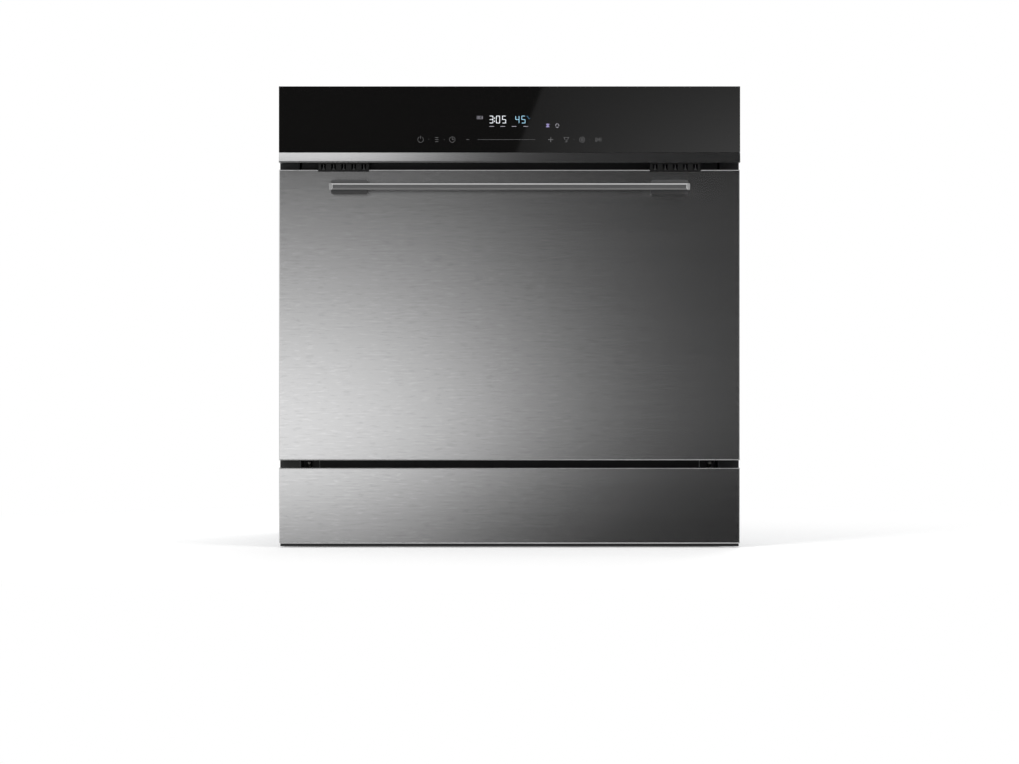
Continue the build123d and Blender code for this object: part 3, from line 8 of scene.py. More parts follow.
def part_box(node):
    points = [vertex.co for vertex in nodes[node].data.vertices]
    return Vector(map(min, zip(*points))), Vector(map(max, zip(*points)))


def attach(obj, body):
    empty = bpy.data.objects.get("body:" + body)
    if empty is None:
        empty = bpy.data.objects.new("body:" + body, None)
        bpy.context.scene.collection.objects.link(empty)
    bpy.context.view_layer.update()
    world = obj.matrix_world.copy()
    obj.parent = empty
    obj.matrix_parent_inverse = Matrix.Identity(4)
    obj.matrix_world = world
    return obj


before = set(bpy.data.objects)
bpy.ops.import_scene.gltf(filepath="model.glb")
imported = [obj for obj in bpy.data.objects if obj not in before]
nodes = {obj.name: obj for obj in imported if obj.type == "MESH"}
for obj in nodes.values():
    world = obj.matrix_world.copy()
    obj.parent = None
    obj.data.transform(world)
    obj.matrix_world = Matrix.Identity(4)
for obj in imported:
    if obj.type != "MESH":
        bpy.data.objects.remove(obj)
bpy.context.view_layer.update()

print("frame loaded,", len(nodes), "pieces")


class Wire:
    # a node's output that takes part in Python sums: each operator adds one Math node
    def __init__(self, finish, socket):
        self.finish = finish
        self.socket = socket

    def math(self, operation, *values):
        return self.finish.node("Math", {"operation": operation}, dict(enumerate(values)))

    def __add__(self, other):
        return self.math("ADD", self, other)

    def __radd__(self, other):
        return self.math("ADD", other, self)

    def __sub__(self, other):
        return self.math("SUBTRACT", self, other)

    def __rsub__(self, other):
        return self.math("SUBTRACT", other, self)

    def __mul__(self, other):
        return self.math("MULTIPLY", self, other)

    def __truediv__(self, other):
        return self.math("DIVIDE", self, other)

    def __rtruediv__(self, other):
        return self.math("DIVIDE", other, self)

    def __pow__(self, other):
        return self.math("POWER", self, other)

    def __rpow__(self, other):
        return self.math("POWER", other, self)

    def above(self, level):
        return self.math("GREATER_THAN", self, level)

    def atLeast(self, level):
        return self.math("MAXIMUM", self, level)

    def atMost(self, level):
        return self.math("MINIMUM", self, level)

    def fraction(self):
        return self.math("FRACT", self)

    def smoothly(self, low, high):
        sockets = {"Value": self, "From Min": low, "From Max": high}
        return self.finish.node("MapRange", {"interpolation_type": "SMOOTHSTEP"}, sockets)


class Finish:
    # a node tree and the tools that fill it; the first wires are the place in metres
    def __init__(self, owner, shaderKind=None, shader=None):
        self.owner = owner
        owner.use_nodes = True
        self.tree = owner.node_tree
        self.tree.nodes.clear()
        self.place = self.node("TexCoord", out="Object")
        if shaderKind:
            self.shader = self.node(shaderKind, sockets=shader)
            self.node("OutputMaterial", sockets={"Surface": self.shader})

    def node(self, kind, settings=None, sockets=None, out=0):
        made = self.tree.nodes.new("ShaderNode" + kind)
        for name, value in (settings or {}).items():
            if name == "stops":
                self.setStops(made.color_ramp, value)
            else:
                setattr(made, name, value)
        for name, value in (sockets or {}).items():
            self.fill(made.inputs[name], value)
        return Wire(self, made.outputs[out]) if made.outputs else None

    def fill(self, socket, value):
        if isinstance(value, Wire):
            self.tree.links.new(value.socket, socket)
        elif socket.type == "RGBA" and len(value) == 3:
            socket.default_value = (*value, 1)
        else:
            socket.default_value = value

    def setStops(self, ramp, stops):
        while len(ramp.elements) < len(stops):
            ramp.elements.new(1)
        for element, (position, level) in zip(ramp.elements, stops):
            element.position = position
            element.color = (level, level, level, 1)

    def feed(self, sockets):
        for name, value in sockets.items():
            self.fill(self.shader.socket.node.inputs[name], value)
        return self.owner

    def parts(self, vector):
        split = self.node("SeparateXYZ", sockets={0: vector})
        return [Wire(self, output) for output in split.socket.node.outputs]

    def axes(self):
        return self.parts(self.place)

    def scaled(self, scale):
        # the place, stretched so that a noise of scale 1 has that many grains to a metre
        scale = scale if isinstance(scale, (tuple, list)) else (scale, scale, scale)
        return self.node("VectorMath", {"operation": "MULTIPLY"}, {0: self.place, 1: scale})

    def noise(self, scale, detail=2.0, roughness=0.5):
        sockets = {"Vector": self.scaled(scale), "Scale": 1.0, "Detail": detail, "Roughness": roughness}
        return self.node("TexNoise", sockets=sockets)

    def cells(self, scale, randomness=1.0, out="Color"):
        sockets = {"Vector": self.scaled(scale), "Scale": 1.0, "Randomness": randomness}
        return self.node("TexVoronoi", sockets=sockets, out=out)

    def ramp(self, wire, low, high, levels=(0.0, 1.0)):
        return self.node("ValToRGB", {"stops": ((low, levels[0]), (high, levels[1]))}, {0: wire})

    def mix(self, share, low, high):
        return self.node("Mix", {"data_type": "RGBA"}, {0: share, 6: low, 7: high}, 2)

    def bump(self, height, distance, strength=1.0):
        return self.node("Bump", sockets={"Height": height, "Distance": distance, "Strength": strength})


def shade(colour, level):
    return tuple(part * level for part in colour)


def toned(colour, contrast):
    # the darker and lighter sides of a colour
    return shade(colour, 1 - contrast), shade(colour, 1 + contrast)


def stretched(along, slow, fast):
    scale = [fast, fast, fast]
    scale[along] = slow
    return tuple(scale)


def newMaterial(name, shader=None):
    return Finish(bpy.data.materials.new(name), "BsdfPrincipled", shader)


# finishes

def brushedMetal(name, look, along=0, sidesUpright=False):
    finish = newMaterial(name, {"Metallic": 1.0})
    run, lines = look["run"], look["lines"]
    hairs = finish.noise(stretched(along, run, lines))
    streaks = finish.noise(stretched(along, run / look["streakRun"], lines / look["streakLines"]), 3.0)
    smears = finish.noise(look["smears"], 3.0)
    dashes = finish.noise(stretched(along, look["dashRun"], look["dashLines"]), 1.0)
    bright = finish.ramp(dashes, *look["brightDashes"])
    dull = finish.ramp(dashes, *look["dullDashes"], levels=(1.0, 0.0))
    grain = hairs * 0.5 + streaks * 0.5 + (bright - dull) * look["dashes"]
    if sidesUpright:
        # faces that look sideways are brushed upward
        turn = finish.parts(finish.node("TexCoord", out="Normal"))[0]
        upright = finish.noise(stretched(2, run, lines))
        grain = grain + (upright - grain) * (turn * turn).smoothly(*look["turned"])
    return finish.feed({
        "Base Color": finish.mix(grain, *toned(look["colour"], look["contrast"])),
        "Roughness": look["roughness"] + (streaks - 0.5) * look["uneven"] + (smears - 0.5) * look["uneven"],
        "Normal": finish.bump(hairs, look["depth"]),
    })


def satinHandle(name, look):
    # brushed along its length; the colour is chosen by which way each face looks: faces tilted up and the
    # sideways corners get a light colour, partly polish and partly painted highlight, faces tilted down a
    # lesser painted highlight, and faces that look straight down a near-black painted shade
    finish = newMaterial(name)
    side, depth, rise = finish.parts(finish.node("TexCoord", out="Normal"))
    lines = finish.noise(stretched(0, look["run"], look["lines"]))
    turn = side * side
    slope = turn.smoothly(*look["slopeFrom"]) - turn.smoothly(*look["slopeTo"])
    corners = turn.smoothly(*look["cornerFrom"]) - slope * look["slopeDrop"]
    # lighter colours for faces tilted up and down are painted highlight
    upper = rise.smoothly(*look["tilted"]).atLeast(corners)
    lower = (rise * -1).smoothly(*look["tilted"])
    # the near-black colour on faces that look down is painted shade
    under = (rise * -1).smoothly(*look["facingDown"])
    face = finish.mix(lines, *toned(look["face"], look["contrast"]))
    colour = finish.mix(lower, finish.mix(upper, face, look["edge"]), look["lowEdge"])
    return finish.feed({
        "Base Color": finish.mix(under, colour, look["under"]),
        "Metallic": look["metallic"] + upper * (1 - look["metallic"]),
        "Roughness": look["roughness"] + upper * (look["edgeRoughness"] - look["roughness"]),
        "Normal": finish.bump(lines, look["depth"]),
    })


def galvanisedMetal(name, look):
    finish = newMaterial(name, {"Metallic": 1.0})
    flowers = finish.cells(look["flowers"])
    clouds = finish.noise(look["clouds"], 4.0)
    grain = finish.noise(look["grain"])
    tone = flowers * look["flowerShare"] + clouds * look["cloudShare"] + grain * look["grainShare"]
    return finish.feed({
        "Base Color": finish.mix(tone, *toned(look["colour"], look["contrast"])),
        "Roughness": look["roughness"] + (flowers - 0.5) * look["uneven"] + (clouds - 0.5) * look["uneven"],
        "Normal": finish.bump(grain + flowers * look["flowerRelief"], look["depth"]),
    })


def paintedSheet(name, look):
    finish = newMaterial(name, {"IOR": 1.45})
    peel = finish.noise(look["peel"])
    clouds = finish.noise(look["clouds"], 3.0)
    specks = finish.ramp(finish.noise(look["specks"]), *look["speckRange"])
    colour = finish.mix(clouds, *toned(look["colour"], look["contrast"]))
    lighter = shade(look["colour"], look["speckTone"])
    return finish.feed({
        "Base Color": finish.mix(specks * look["speckShare"], colour, lighter),
        "Roughness": look["roughness"] + (clouds - 0.5) * look["uneven"],
        "Normal": finish.bump(peel, look["depth"]),
    })


def mouldedPlastic(name, look):
    finish = newMaterial(name, {"Metallic": 0.0, "IOR": 1.48})
    grain = finish.noise(look["grain"])
    flow = finish.noise(look["flow"], 3.0)
    scuffs = finish.ramp(finish.noise(look["marks"], 3.0), *look["scuffRange"])
    colour = finish.mix(flow, *toned(look["colour"], look["contrast"]))
    return finish.feed({
        "Base Color": finish.mix(scuffs * look["scuffs"], colour, shade(look["colour"], look["scuffTone"])),
        "Roughness": look["roughness"] + (flow - 0.5) * look["uneven"] + scuffs * look["scuffRough"],
        "Normal": finish.bump(grain, look["depth"]),
    })


def coatedWire(name, look):
    finish = newMaterial(name, {"IOR": 1.5})
    peel = finish.noise(look["peel"])
    tone = finish.noise(look["tone"], 3.0)
    return finish.feed({
        "Base Color": finish.mix(tone, *toned(look["colour"], look["contrast"])),
        "Roughness": look["roughness"] + (tone - 0.5) * look["uneven"],
        "Normal": finish.bump(peel, look["depth"]),
    })


def rubber(name, look):
    finish = newMaterial(name, {"IOR": 1.5})
    skin = finish.noise(look["skin"], 3.0)
    bloom = finish.ramp(finish.noise(look["bloom"], 4.0), *look["bloomRange"])
    return finish.feed({
        "Base Color": finish.mix(bloom * look["bloomShare"], look["colour"], look["bloomColour"]),
        "Roughness": look["roughness"] + bloom * look["bloomRough"],
        "Normal": finish.bump(skin, look["depth"]),
    })


def darkGlass(name, look):
    finish = newMaterial(name, {"IOR": look["ior"]})
    smears = finish.ramp(finish.noise(look["smears"], 4.0), *look["smearRange"])
    tone = finish.noise(look["tone"])
    return finish.feed({
        "Base Color": finish.mix(tone, look["colour"], shade(look["colour"], look["lighter"])),
        "Roughness": look["roughness"] + smears * look["film"],
    })


def felt(name, look):
    finish = newMaterial(name, {"Specular IOR Level": 0.2, "Sheen Weight": 0.3})
    fibres = finish.noise(look["fibres"], 5.0, 0.7)
    tufts = finish.noise(look["tufts"], 3.0)
    return finish.feed({
        "Base Color": finish.mix(fibres * 0.6 + tufts * 0.4, *toned(look["colour"], look["contrast"])),
        "Roughness": look["roughness"] + (fibres - 0.5) * look["uneven"],
        "Normal": finish.bump(fibres + tufts, look["depth"]),
    })


def circuitBoard(name, look):
    finish = newMaterial(name, {"IOR": 1.5})
    tracks = finish.ramp(finish.cells(look["tracks"], 0.0, "Distance"), *look["trackRange"])
    islands = finish.cells(look["islands"])
    etched = tracks * finish.ramp(islands, *look["islandRange"])
    return finish.feed({
        "Base Color": finish.mix(etched, look["colour"], look["copper"]),
        "Roughness": look["roughness"] + etched * look["etchedRough"],
        "Normal": finish.bump(etched, look["depth"]),
    })


def sieveMetal(name, look):
    # a sheet with rows of small round holes, open where they are
    finish = newMaterial(name, {"Metallic": 1.0})
    x, y, z = finish.axes()
    rows = y * look["holes"]
    across = (x * look["holes"] + rows.math("FLOOR", rows) * 0.5).fraction() - 0.5
    along = rows.fraction() - 0.5
    reach = (across * across + along * along) ** 0.5
    grain = finish.noise(look["grain"])
    return finish.feed({
        "Base Color": finish.mix(grain, *[shade(look["colour"], tone) for tone in look["tones"]]),
        "Roughness": look["roughness"] + (grain - 0.5) * look["uneven"],
        "Alpha": reach.above(look["open"]),
    })


litLook = {"roughness": 0.4, "grain": 500, "unlit": 0.3, "dimmest": 0.85}


def litMark(name, colour, strength):
    finish = newMaterial(name, {"Roughness": litLook["roughness"], "Emission Strength": strength})
    glow = finish.noise(litLook["grain"])
    return finish.feed({
        "Base Color": shade(colour, litLook["unlit"]),
        "Emission Color": finish.mix(glow, shade(colour, litLook["dimmest"]), colour),
    })


doorSteelLook = {
    "colour": (0.605, 0.604, 0.607), "roughness": 0.24, "uneven": 0.04, "contrast": 0.07,
    "run": 14, "lines": 1500, "smears": 5, "depth": 0.000006,
    "streakRun": 4, "streakLines": 12, "dashes": 0.6, "dashRun": 60, "dashLines": 420,
    "brightDashes": (0.60, 0.68), "dullDashes": (0.32, 0.40), "turned": (0.4, 0.6),
}
# besides the brushed face colour, the lighter edge colours are painted highlight for faces tilted up and
# down, and the darkest colour is a painted shade for faces that look down
handleLook = {
    "face": (0.122, 0.122, 0.123), "edge": (0.5, 0.5, 0.5),
    "lowEdge": (0.17, 0.17, 0.17), "under": (0.01, 0.01, 0.01),
    "slopeFrom": (0.36, 0.44), "slopeTo": (0.56, 0.64), "slopeDrop": 0.6,
    "cornerFrom": (0.04, 0.1), "tilted": (0.3, 0.5), "facingDown": (0.85, 0.95),
    "metallic": 0.5, "roughness": 0.4, "edgeRoughness": 0.22,
    "lines": 900, "run": 12, "contrast": 0.2, "depth": 0.000008,
}
# the posts' lighter edge colour is painted highlight and their darkest colour painted shade, as on the bar
postLook = dict(handleLook, face=(0.085, 0.085, 0.086), edge=(0.4, 0.4, 0.4), metallic=0.2, contrast=0.1)
trimSteelLook = dict(doorSteelLook, roughness=0.2, contrast=0.04, dashes=0.2)
tubSteelLook = dict(
    doorSteelLook, colour=(0.66, 0.65, 0.63), roughness=0.3, run=20, lines=900, uneven=0.06, dashes=0.0,
)
smallSteelLook = dict(
    doorSteelLook, colour=(0.58, 0.57, 0.55), roughness=0.34, run=60, lines=1800, dashes=0.1,
)
zincLook = {
    "colour": (0.52, 0.53, 0.54), "roughness": 0.44, "uneven": 0.08, "contrast": 0.16,
    "flowers": 130, "clouds": 9, "grain": 700, "depth": 0.000012,
    "flowerShare": 0.45, "cloudShare": 0.4, "grainShare": 0.15, "flowerRelief": 0.4,
}
wireLook = {
    "colour": (0.27, 0.28, 0.30), "roughness": 0.32, "contrast": 0.1, "uneven": 0.12,
    "peel": 700, "tone": 30, "depth": 0.00003,
}
rubberLook = {
    "colour": (0.022, 0.022, 0.023), "bloomColour": (0.06, 0.06, 0.06), "roughness": 0.62,
    "skin": 900, "bloom": 40, "depth": 0.00004,
    "bloomRange": (0.45, 0.8), "bloomShare": 0.5, "bloomRough": 0.12,
}
glassLook = {
    "colour": (0.0013, 0.0012, 0.0011), "lighter": 1.5, "roughness": 0.01, "film": 0.02, "ior": 1.5,
    "smears": 9, "smearRange": (0.4, 0.8), "tone": 3,
}
framePaintLook = {
    "colour": (0.014, 0.014, 0.0145), "roughness": 0.45, "contrast": 0.12, "uneven": 0.12,
    "peel": 900, "clouds": 12, "specks": 500, "depth": 0.00003,
    "speckRange": (0.68, 0.8), "speckShare": 0.2, "speckTone": 2.0,
}
feltLook = {
    "colour": (0.16, 0.155, 0.15), "roughness": 0.85, "contrast": 0.4, "uneven": 0.15,
    "fibres": 420, "tufts": 60, "depth": 0.0004,
}
boardLook = {
    "colour": (0.02, 0.11, 0.05), "copper": (0.45, 0.30, 0.12), "roughness": 0.35, "etchedRough": 0.2,
    "tracks": 330, "trackRange": (0.38, 0.42), "islands": 60, "islandRange": (0.45, 0.5), "depth": 0.00004,
}
sieveLook = {
    "colour": (0.58, 0.57, 0.55), "tones": (0.85, 1.1), "roughness": 0.33, "uneven": 0.15,
    "holes": 420, "open": 0.27, "grain": 1200,
}

steel = brushedMetal("brushedSteel", doorSteelLook, sidesUpright=True)
handleSatin = satinHandle("satinHandle", handleLook)
postSatin = satinHandle("satinPosts", postLook)
trimSteel = brushedMetal("polishedTrim", trimSteelLook)
tubSteel = brushedMetal("tubSteel", tubSteelLook, along=1)
linerSteel = brushedMetal("linerSteel", dict(tubSteelLook, roughness=0.27), along=2)
smallSteel = brushedMetal("pressedSteel", smallSteelLook)
zinc = galvanisedMetal("zincSheet", zincLook)
framePaint = paintedSheet("framePaint", framePaintLook)
hingePaint = paintedSheet("hingePaint", dict(framePaintLook, colour=(0.035, 0.035, 0.037), roughness=0.38))
rackWire = coatedWire("rackWire", wireLook)
seal = rubber("doorSeal", rubberLook)
glass = darkGlass("panelGlass", glassLook)
insulation = felt("bitumenFelt", feltLook)
board = circuitBoard("circuitBoard", boardLook)
sieve = sieveMetal("filterSieve", sieveLook)
plasticBase = {
    "grain": 1400, "flow": 18, "contrast": 0.06, "uneven": 0.1, "depth": 0.00003,
    "marks": (260, 260, 40), "scuffRange": (0.55, 0.75),
    "scuffs": 0.15, "scuffTone": 1.35, "scuffRough": 0.08,
}
plasticLooks = {
    "black": {"colour": (0.007, 0.007, 0.0075), "roughness": 0.5},
    "grille": {"colour": (0.004, 0.004, 0.004), "roughness": 0.6, "scuffs": 0.05},
    "toe": {"colour": (0.014, 0.014, 0.0145), "roughness": 0.55},
    "tray": {"colour": (0.05, 0.052, 0.055), "roughness": 0.55},
    "grey": {"colour": (0.20, 0.21, 0.225), "roughness": 0.4},
    "pale": {"colour": (0.46, 0.48, 0.50), "roughness": 0.38},
    "white": {"colour": (0.72, 0.72, 0.70), "roughness": 0.4, "contrast": 0.04},
    "blue": {"colour": (0.10, 0.22, 0.36), "roughness": 0.4},
    "hose": {"colour": (0.10, 0.10, 0.105), "roughness": 0.5},
    "valve": {"colour": (0.62, 0.63, 0.62), "roughness": 0.45},
    "fin": {"colour": (0.028, 0.028, 0.029), "roughness": 0.5},
}
plastics = {
    name: mouldedPlastic(name + "Plastic", dict(plasticBase, **look)) for name, look in plasticLooks.items()
}

# the finish of each piece
finishedWith = (
    (steel, "door_skin lower_panel"),
    (handleSatin, "handle_bar"),
    (postSatin, "handle_posts"),
    (trimSteel, "trim_strip"),
    (glass, "control_glass"),
    (framePaint, "front_frame"),
    (zinc, "side_panel_right side_panel_left top_panel back_panel"),
    (tubSteel, "tub"),
    (linerSteel, "door_liner"),
    (seal, "door_gasket"),
    (insulation, "door_insulation"),
    (board, "control_board"),
    (sieve, "flat_filter"),
    (hingePaint, "hinge_brackets hinge_arms"),
    (smallSteel, "door_springs rack_guides door_strike"),
    (rackWire, "lower_rack upper_rack tine_row cup_shelf_right cup_shelf_left"),
    (plastics["black"], "control_housing mains_inlet door_lock"),
    (plastics["grille"], "vent_grille_left vent_grille_right"),
    (plastics["toe"], "toe_plate"),
    (plastics["tray"], "base_tray foot_1 foot_2 foot_3 foot_4"),
    (plastics["grey"], "sump circulation_pump salt_cap spray_feed lower_spray_arm upper_spray_arm"),
    (plastics["grey"], "lower_wheels_front lower_wheels_rear cutlery_basket dispenser_button"),
    (plastics["pale"], "filter_cup water_softener float_bell rack_rollers_front rack_rollers_rear"),
    (plastics["pale"], "dispenser_body detergent_lid"),
    (plastics["white"], "drain_pump air_break"),
    (plastics["blue"], "rinse_aid_cap"),
    (plastics["hose"], "drain_outlet"),
    (plastics["valve"], "inlet_valve"),
)
nodeFinishes = {name: finish for finish, names in finishedWith for name in names.split()}
for name, piece in nodes.items():
    if not piece.material_slots:
        piece.data.materials.append(None)
    for slot in piece.material_slots:
        slot.link = "OBJECT"
        slot.material = nodeFinishes[name]
print("finishes made:", len(bpy.data.materials))


# mesh tools

def softenEdges(name, width):
    # narrow bevels on a piece with flat faces
    nodes[name].modifiers.new("weld", "WELD")
    bevel = nodes[name].modifiers.new("edges", "BEVEL")
    bevel.limit_method = "ANGLE"
    bevel.width = width
    bevel.segments = 2


def newPiece(name, mesh, material, body):
    piece = bpy.data.objects.new(name, mesh)
    bpy.context.scene.collection.objects.link(piece)
    mesh.materials.append(material)
    if body:
        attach(piece, body)
    return piece


def meshOf(name, shape):
    mesh = bpy.data.meshes.new(name)
    bmesh.ops.recalc_face_normals(shape, faces=shape.faces)
    shape.to_mesh(mesh)
    shape.free()
    return mesh


def addPrism(shape, outline, back, front):
    # a flat outline in X and Z, made solid between two Y values
    rings = [[shape.verts.new((x, y, z)) for x, z in outline] for y in (back, front)]
    shape.faces.new(rings[0])
    shape.faces.new(rings[1])
    for index in range(len(outline)):
        other = (index + 1) % len(outline)
        shape.faces.new((rings[0][index], rings[0][other], rings[1][other], rings[1][index]))


def addRings(shape, rings):
    # closes the skin between runs of points of one length, and caps the last
    made = [[shape.verts.new(point) for point in points] for points in rings]
    for inner, outer in zip(made, made[1:]):
        for index in range(len(inner)):
            other = (index + 1) % len(inner)
            shape.faces.new((inner[index], inner[other], outer[other], outer[index]))
    shape.faces.new(made[-1])


def facing(place, outward):
    # a frame with its third axis along outward
    return Matrix.Translation(place) @ Vector(outward).to_track_quat("Z", "Y").to_matrix().to_4x4()


def capsule(start, end, width, steps=5):
    # the outline of a line with round ends
    (x0, z0), (x1, z1) = start, end
    angle = math.atan2(z1 - z0, x1 - x0)
    half = width / 2
    outline = []
    for centreX, centreZ, turn in ((x1, z1, -math.pi / 2), (x0, z0, math.pi / 2)):
        for step in range(steps + 1):
            around = angle + turn + math.pi * step / steps
            outline.append((centreX + math.cos(around) * half, centreZ + math.sin(around) * half))
    return outline


def circle(radius, x=0.0, z=0.0, gap=0.0, steps=20):
    # a circle as a run of points, open at the top where there is a gap
    first = math.pi / 2 + gap / 2
    turns = [first + (2 * math.pi - gap) * step / steps for step in range(steps + 1)]
    return [(x + radius * math.cos(turn), z + radius * math.sin(turn)) for turn in turns]


softenEdges("handle_bar", 0.0005)


# display and touch keys on the glass

glassLow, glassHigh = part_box("control_glass")
displayLook = {
    "lift": 0.00004, "depth": 0.00003, "line": 0.00052, "colonLine": 0.0010, "colonShares": (0.24, 0.68),
    "colonDrop": 0.0003, "digitWide": 0.0043, "digitHigh": 0.0090, "digitStep": 0.0078, "inset": 0.62,
    "hoursLeft": -0.0257, "hoursGap": 1.12, "degreesLeft": 0.0080, "digitsBottom": 0.5477,
}
# the bars of a digit, on a grid one wide and one high
segments = {
    "top": ((0, 1), (1, 1)), "middle": ((0, 0.5), (1, 0.5)), "bottom": ((0, 0), (1, 0)),
    "upperLeft": ((0, 0.5), (0, 1)), "upperRight": ((1, 0.5), (1, 1)),
    "lowerLeft": ((0, 0), (0, 0.5)), "lowerRight": ((1, 0), (1, 0.5)),
}
digits = {
    0: ("top", "bottom", "upperLeft", "upperRight", "lowerLeft", "lowerRight"),
    3: ("top", "middle", "bottom", "upperRight", "lowerRight"),
    4: ("upperLeft", "upperRight", "middle", "lowerRight"),
    5: ("top", "upperLeft", "middle", "lowerRight", "bottom"),
}
marks = {
    "white": litMark("displayWhite", (0.92, 0.95, 1.0), 1.4),
    "blue": litMark("displayBlue", (0.42, 0.78, 1.0), 1.2),
    "deepBlue": litMark("displayDeepBlue", (0.10, 0.30, 0.48), 0.6),
    "dim": litMark("displayDim", (0.62, 0.60, 0.68), 0.42),
    "key": litMark("keyPrint", (0.55, 0.55, 0.56), 0.06),
    "slider": litMark("sliderPrint", (0.42, 0.42, 0.43), 0.015),
    "violet": litMark("statusViolet", (0.48, 0.42, 0.78), 0.45),
    "pale": litMark("statusPale", (0.66, 0.64, 0.72), 0.55),
}

# signs in millimetres: their middle on the glass, their line and their strokes around the middle
keyRow, keyLine, signLine = 526.3, 0.3, 0.5
signs = {
    "degreeSign": {
        "mark": "deepBlue", "x": 23.1, "row": 547.7, "line": 0.4,
        "strokes": [circle(0.6, 0, 8.28, steps=10), circle(1.1, 2.2, 6.48, steps=12)[1:10]],
    },
    "levelIcon": {
        "mark": "dim", "x": -38.5, "row": 554.7, "line": 0.4,
        "strokes": [((x, -2.0), (x, 2.0)) for x in (-3.2, -1.6, 0.0)] + [
            ((x, 2.0), (x + 0.8, 0), (x, -2.0)) for x in (1.4, 3.2)
        ],
    },
    "phaseDashes": {
        "mark": "dim", "x": 0.0, "row": 543.3, "line": 0.6,
        "strokes": [((x, 0), (x + 5.4, 0)) for x in (-25.6, -11.4, 3.2, 18.2)],
    },
    "saltIcon": {
        "mark": "violet", "x": 49.3, "row": 544.5, "line": 1.1,
        "strokes": [((-x, -z), (x, z)) for x, z in ((1.7, 1.7), (1.7, -1.7), (0.0, 2.1))],
    },
    "rinseIcon": {
        "mark": "pale", "x": 61.6, "row": 544.5, "line": 0.5,
        "strokes": [
            ((-0.5, 2.4), (-2.0, 0.8), (-2.0, -0.8)), ((0.5, 2.4), (2.2, 0.4), (2.2, -0.6)),
            ((-1.4, -1.8), (0.0, -2.8), (1.4, -1.8)),
        ],
    },
    "sliderLine": {
        "mark": "slider", "x": 0.0, "row": keyRow, "line": keyLine, "strokes": [((-40.8, 0), (33.0, 0))],
    },
    "minusKey": {
        "mark": "key", "x": -53.8, "row": keyRow, "line": keyLine, "strokes": [((-1.8, 0), (1.8, 0))],
    },
    "plusKey": {
        "mark": "key", "x": 53.2, "row": keyRow, "line": signLine,
        "strokes": [((-2.9, 0), (2.9, 0)), ((0, -2.9), (0, 2.9))],
    },
    "powerKey": {
        "mark": "key", "x": -114.7, "row": keyRow, "line": keyLine,
        "strokes": [circle(3.6, gap=1.1), ((0, 1.2), (0, 4.8))],
    },
    "programmeKey": {
        "mark": "key", "x": -93.9, "row": keyRow, "line": keyLine,
        "strokes": [((-2.1, z), (2.1, z)) for z in (-2.6, 0.0, 2.6)],
    },
    "delayKey": {
        "mark": "key", "x": -73.8, "row": keyRow, "line": keyLine,
        "strokes": [circle(3.6), ((0, 0), (0, 2.6)), ((0, 0), (2.0, 0))],
    },
    "glassKey": {
        "mark": "key", "x": 73.3, "row": keyRow, "line": keyLine,
        "strokes": [
            ((-3.1, 2.8), (3.1, 2.8)), ((-3.1, 2.8), (-1.7, -0.4)), ((3.1, 2.8), (1.7, -0.4)),
            ((-1.7, -0.4), (1.7, -0.4)), ((0, -0.4), (0, -3.0)), ((-1.5, -3.0), (1.5, -3.0)),
        ],
    },
    "dryKey": {
        "mark": "key", "x": 93.6, "row": keyRow, "line": keyLine,
        "strokes": [circle(3.4)] + [((x, -1.6), (x, 1.6)) for x in (-1.2, 0.0, 1.2)],
    },
    "startKey": {
        "mark": "key", "x": 111.4, "row": keyRow, "line": keyLine,
        "strokes": [
            ((0, -2.6), (0, 2.6), (3.4, 0), (0, -2.6)),
            ((4.6, -2.4), (4.6, 2.4)), ((6.6, -2.4), (6.6, 2.4)),
        ],
    },
    "keyDots": {
        "mark": "key", "x": 0.0, "row": keyRow, "line": keyLine,
        "strokes": [((x, 0), (x, 0.3)) for x in (-104.3, -84.1, 83.1, 103.0)],
    },
}


def markPiece(name, strokes, width, material):
    # strokes are runs of points on the glass, each drawn as a thin raised line
    shape = bmesh.new()
    back = glassLow.y - displayLook["lift"]
    for stroke in strokes:
        for start, end in zip(stroke, stroke[1:]):
            addPrism(shape, capsule(start, end, width), back, back - displayLook["depth"])
    return newPiece(name, meshOf(name, shape), material, "cabinet")


def digitStrokes(digit, left):
    wide, high = displayLook["digitWide"], displayLook["digitHigh"]
    inset = displayLook["line"] * displayLook["inset"]
    bottom = displayLook["digitsBottom"]
    strokes = []
    for name in digits[digit]:
        (x0, z0), (x1, z1) = segments[name]
        start = Vector((left + x0 * wide, bottom + z0 * high))
        end = Vector((left + x1 * wide, bottom + z1 * high))
        step = (end - start).normalized() * inset
        strokes.append((tuple(start + step), tuple(end - step)))
    return strokes


def makeNumbers():
    # the time left, its colon and the heat in degrees
    look = displayLook
    left, bottom, high = look["hoursLeft"], look["digitsBottom"], look["digitHigh"]
    first = look["digitStep"] * look["hoursGap"]
    hours = digitStrokes(3, left)
    hours += digitStrokes(0, left + first)
    hours += digitStrokes(5, left + first + look["digitStep"])
    markPiece("clockDigits", hours, look["line"], marks["white"])
    x = left + (look["digitWide"] + first) / 2
    dots = [bottom + high * share for share in look["colonShares"]]
    colon = [((x, z), (x, z + look["colonDrop"])) for z in dots]
    markPiece("clockColon", colon, look["colonLine"], marks["white"])
    heat = digitStrokes(4, look["degreesLeft"])
    heat += digitStrokes(5, look["degreesLeft"] + look["digitStep"])
    markPiece("heatDigits", heat, look["line"], marks["blue"])


def onGlass(stroke, sign):
    # from millimetres around the sign's middle to metres on the glass
    return [((sign["x"] + x) / 1000, (sign["row"] + z) / 1000) for x, z in stroke]


def makeSigns():
    for name, sign in signs.items():
        strokes = [onGlass(stroke, sign) for stroke in sign["strokes"]]
        markPiece(name, strokes, sign["line"] / 1000, marks[sign["mark"]])


makeNumbers()
makeSigns()
print("display and touch keys made")


# screw heads on the sheets

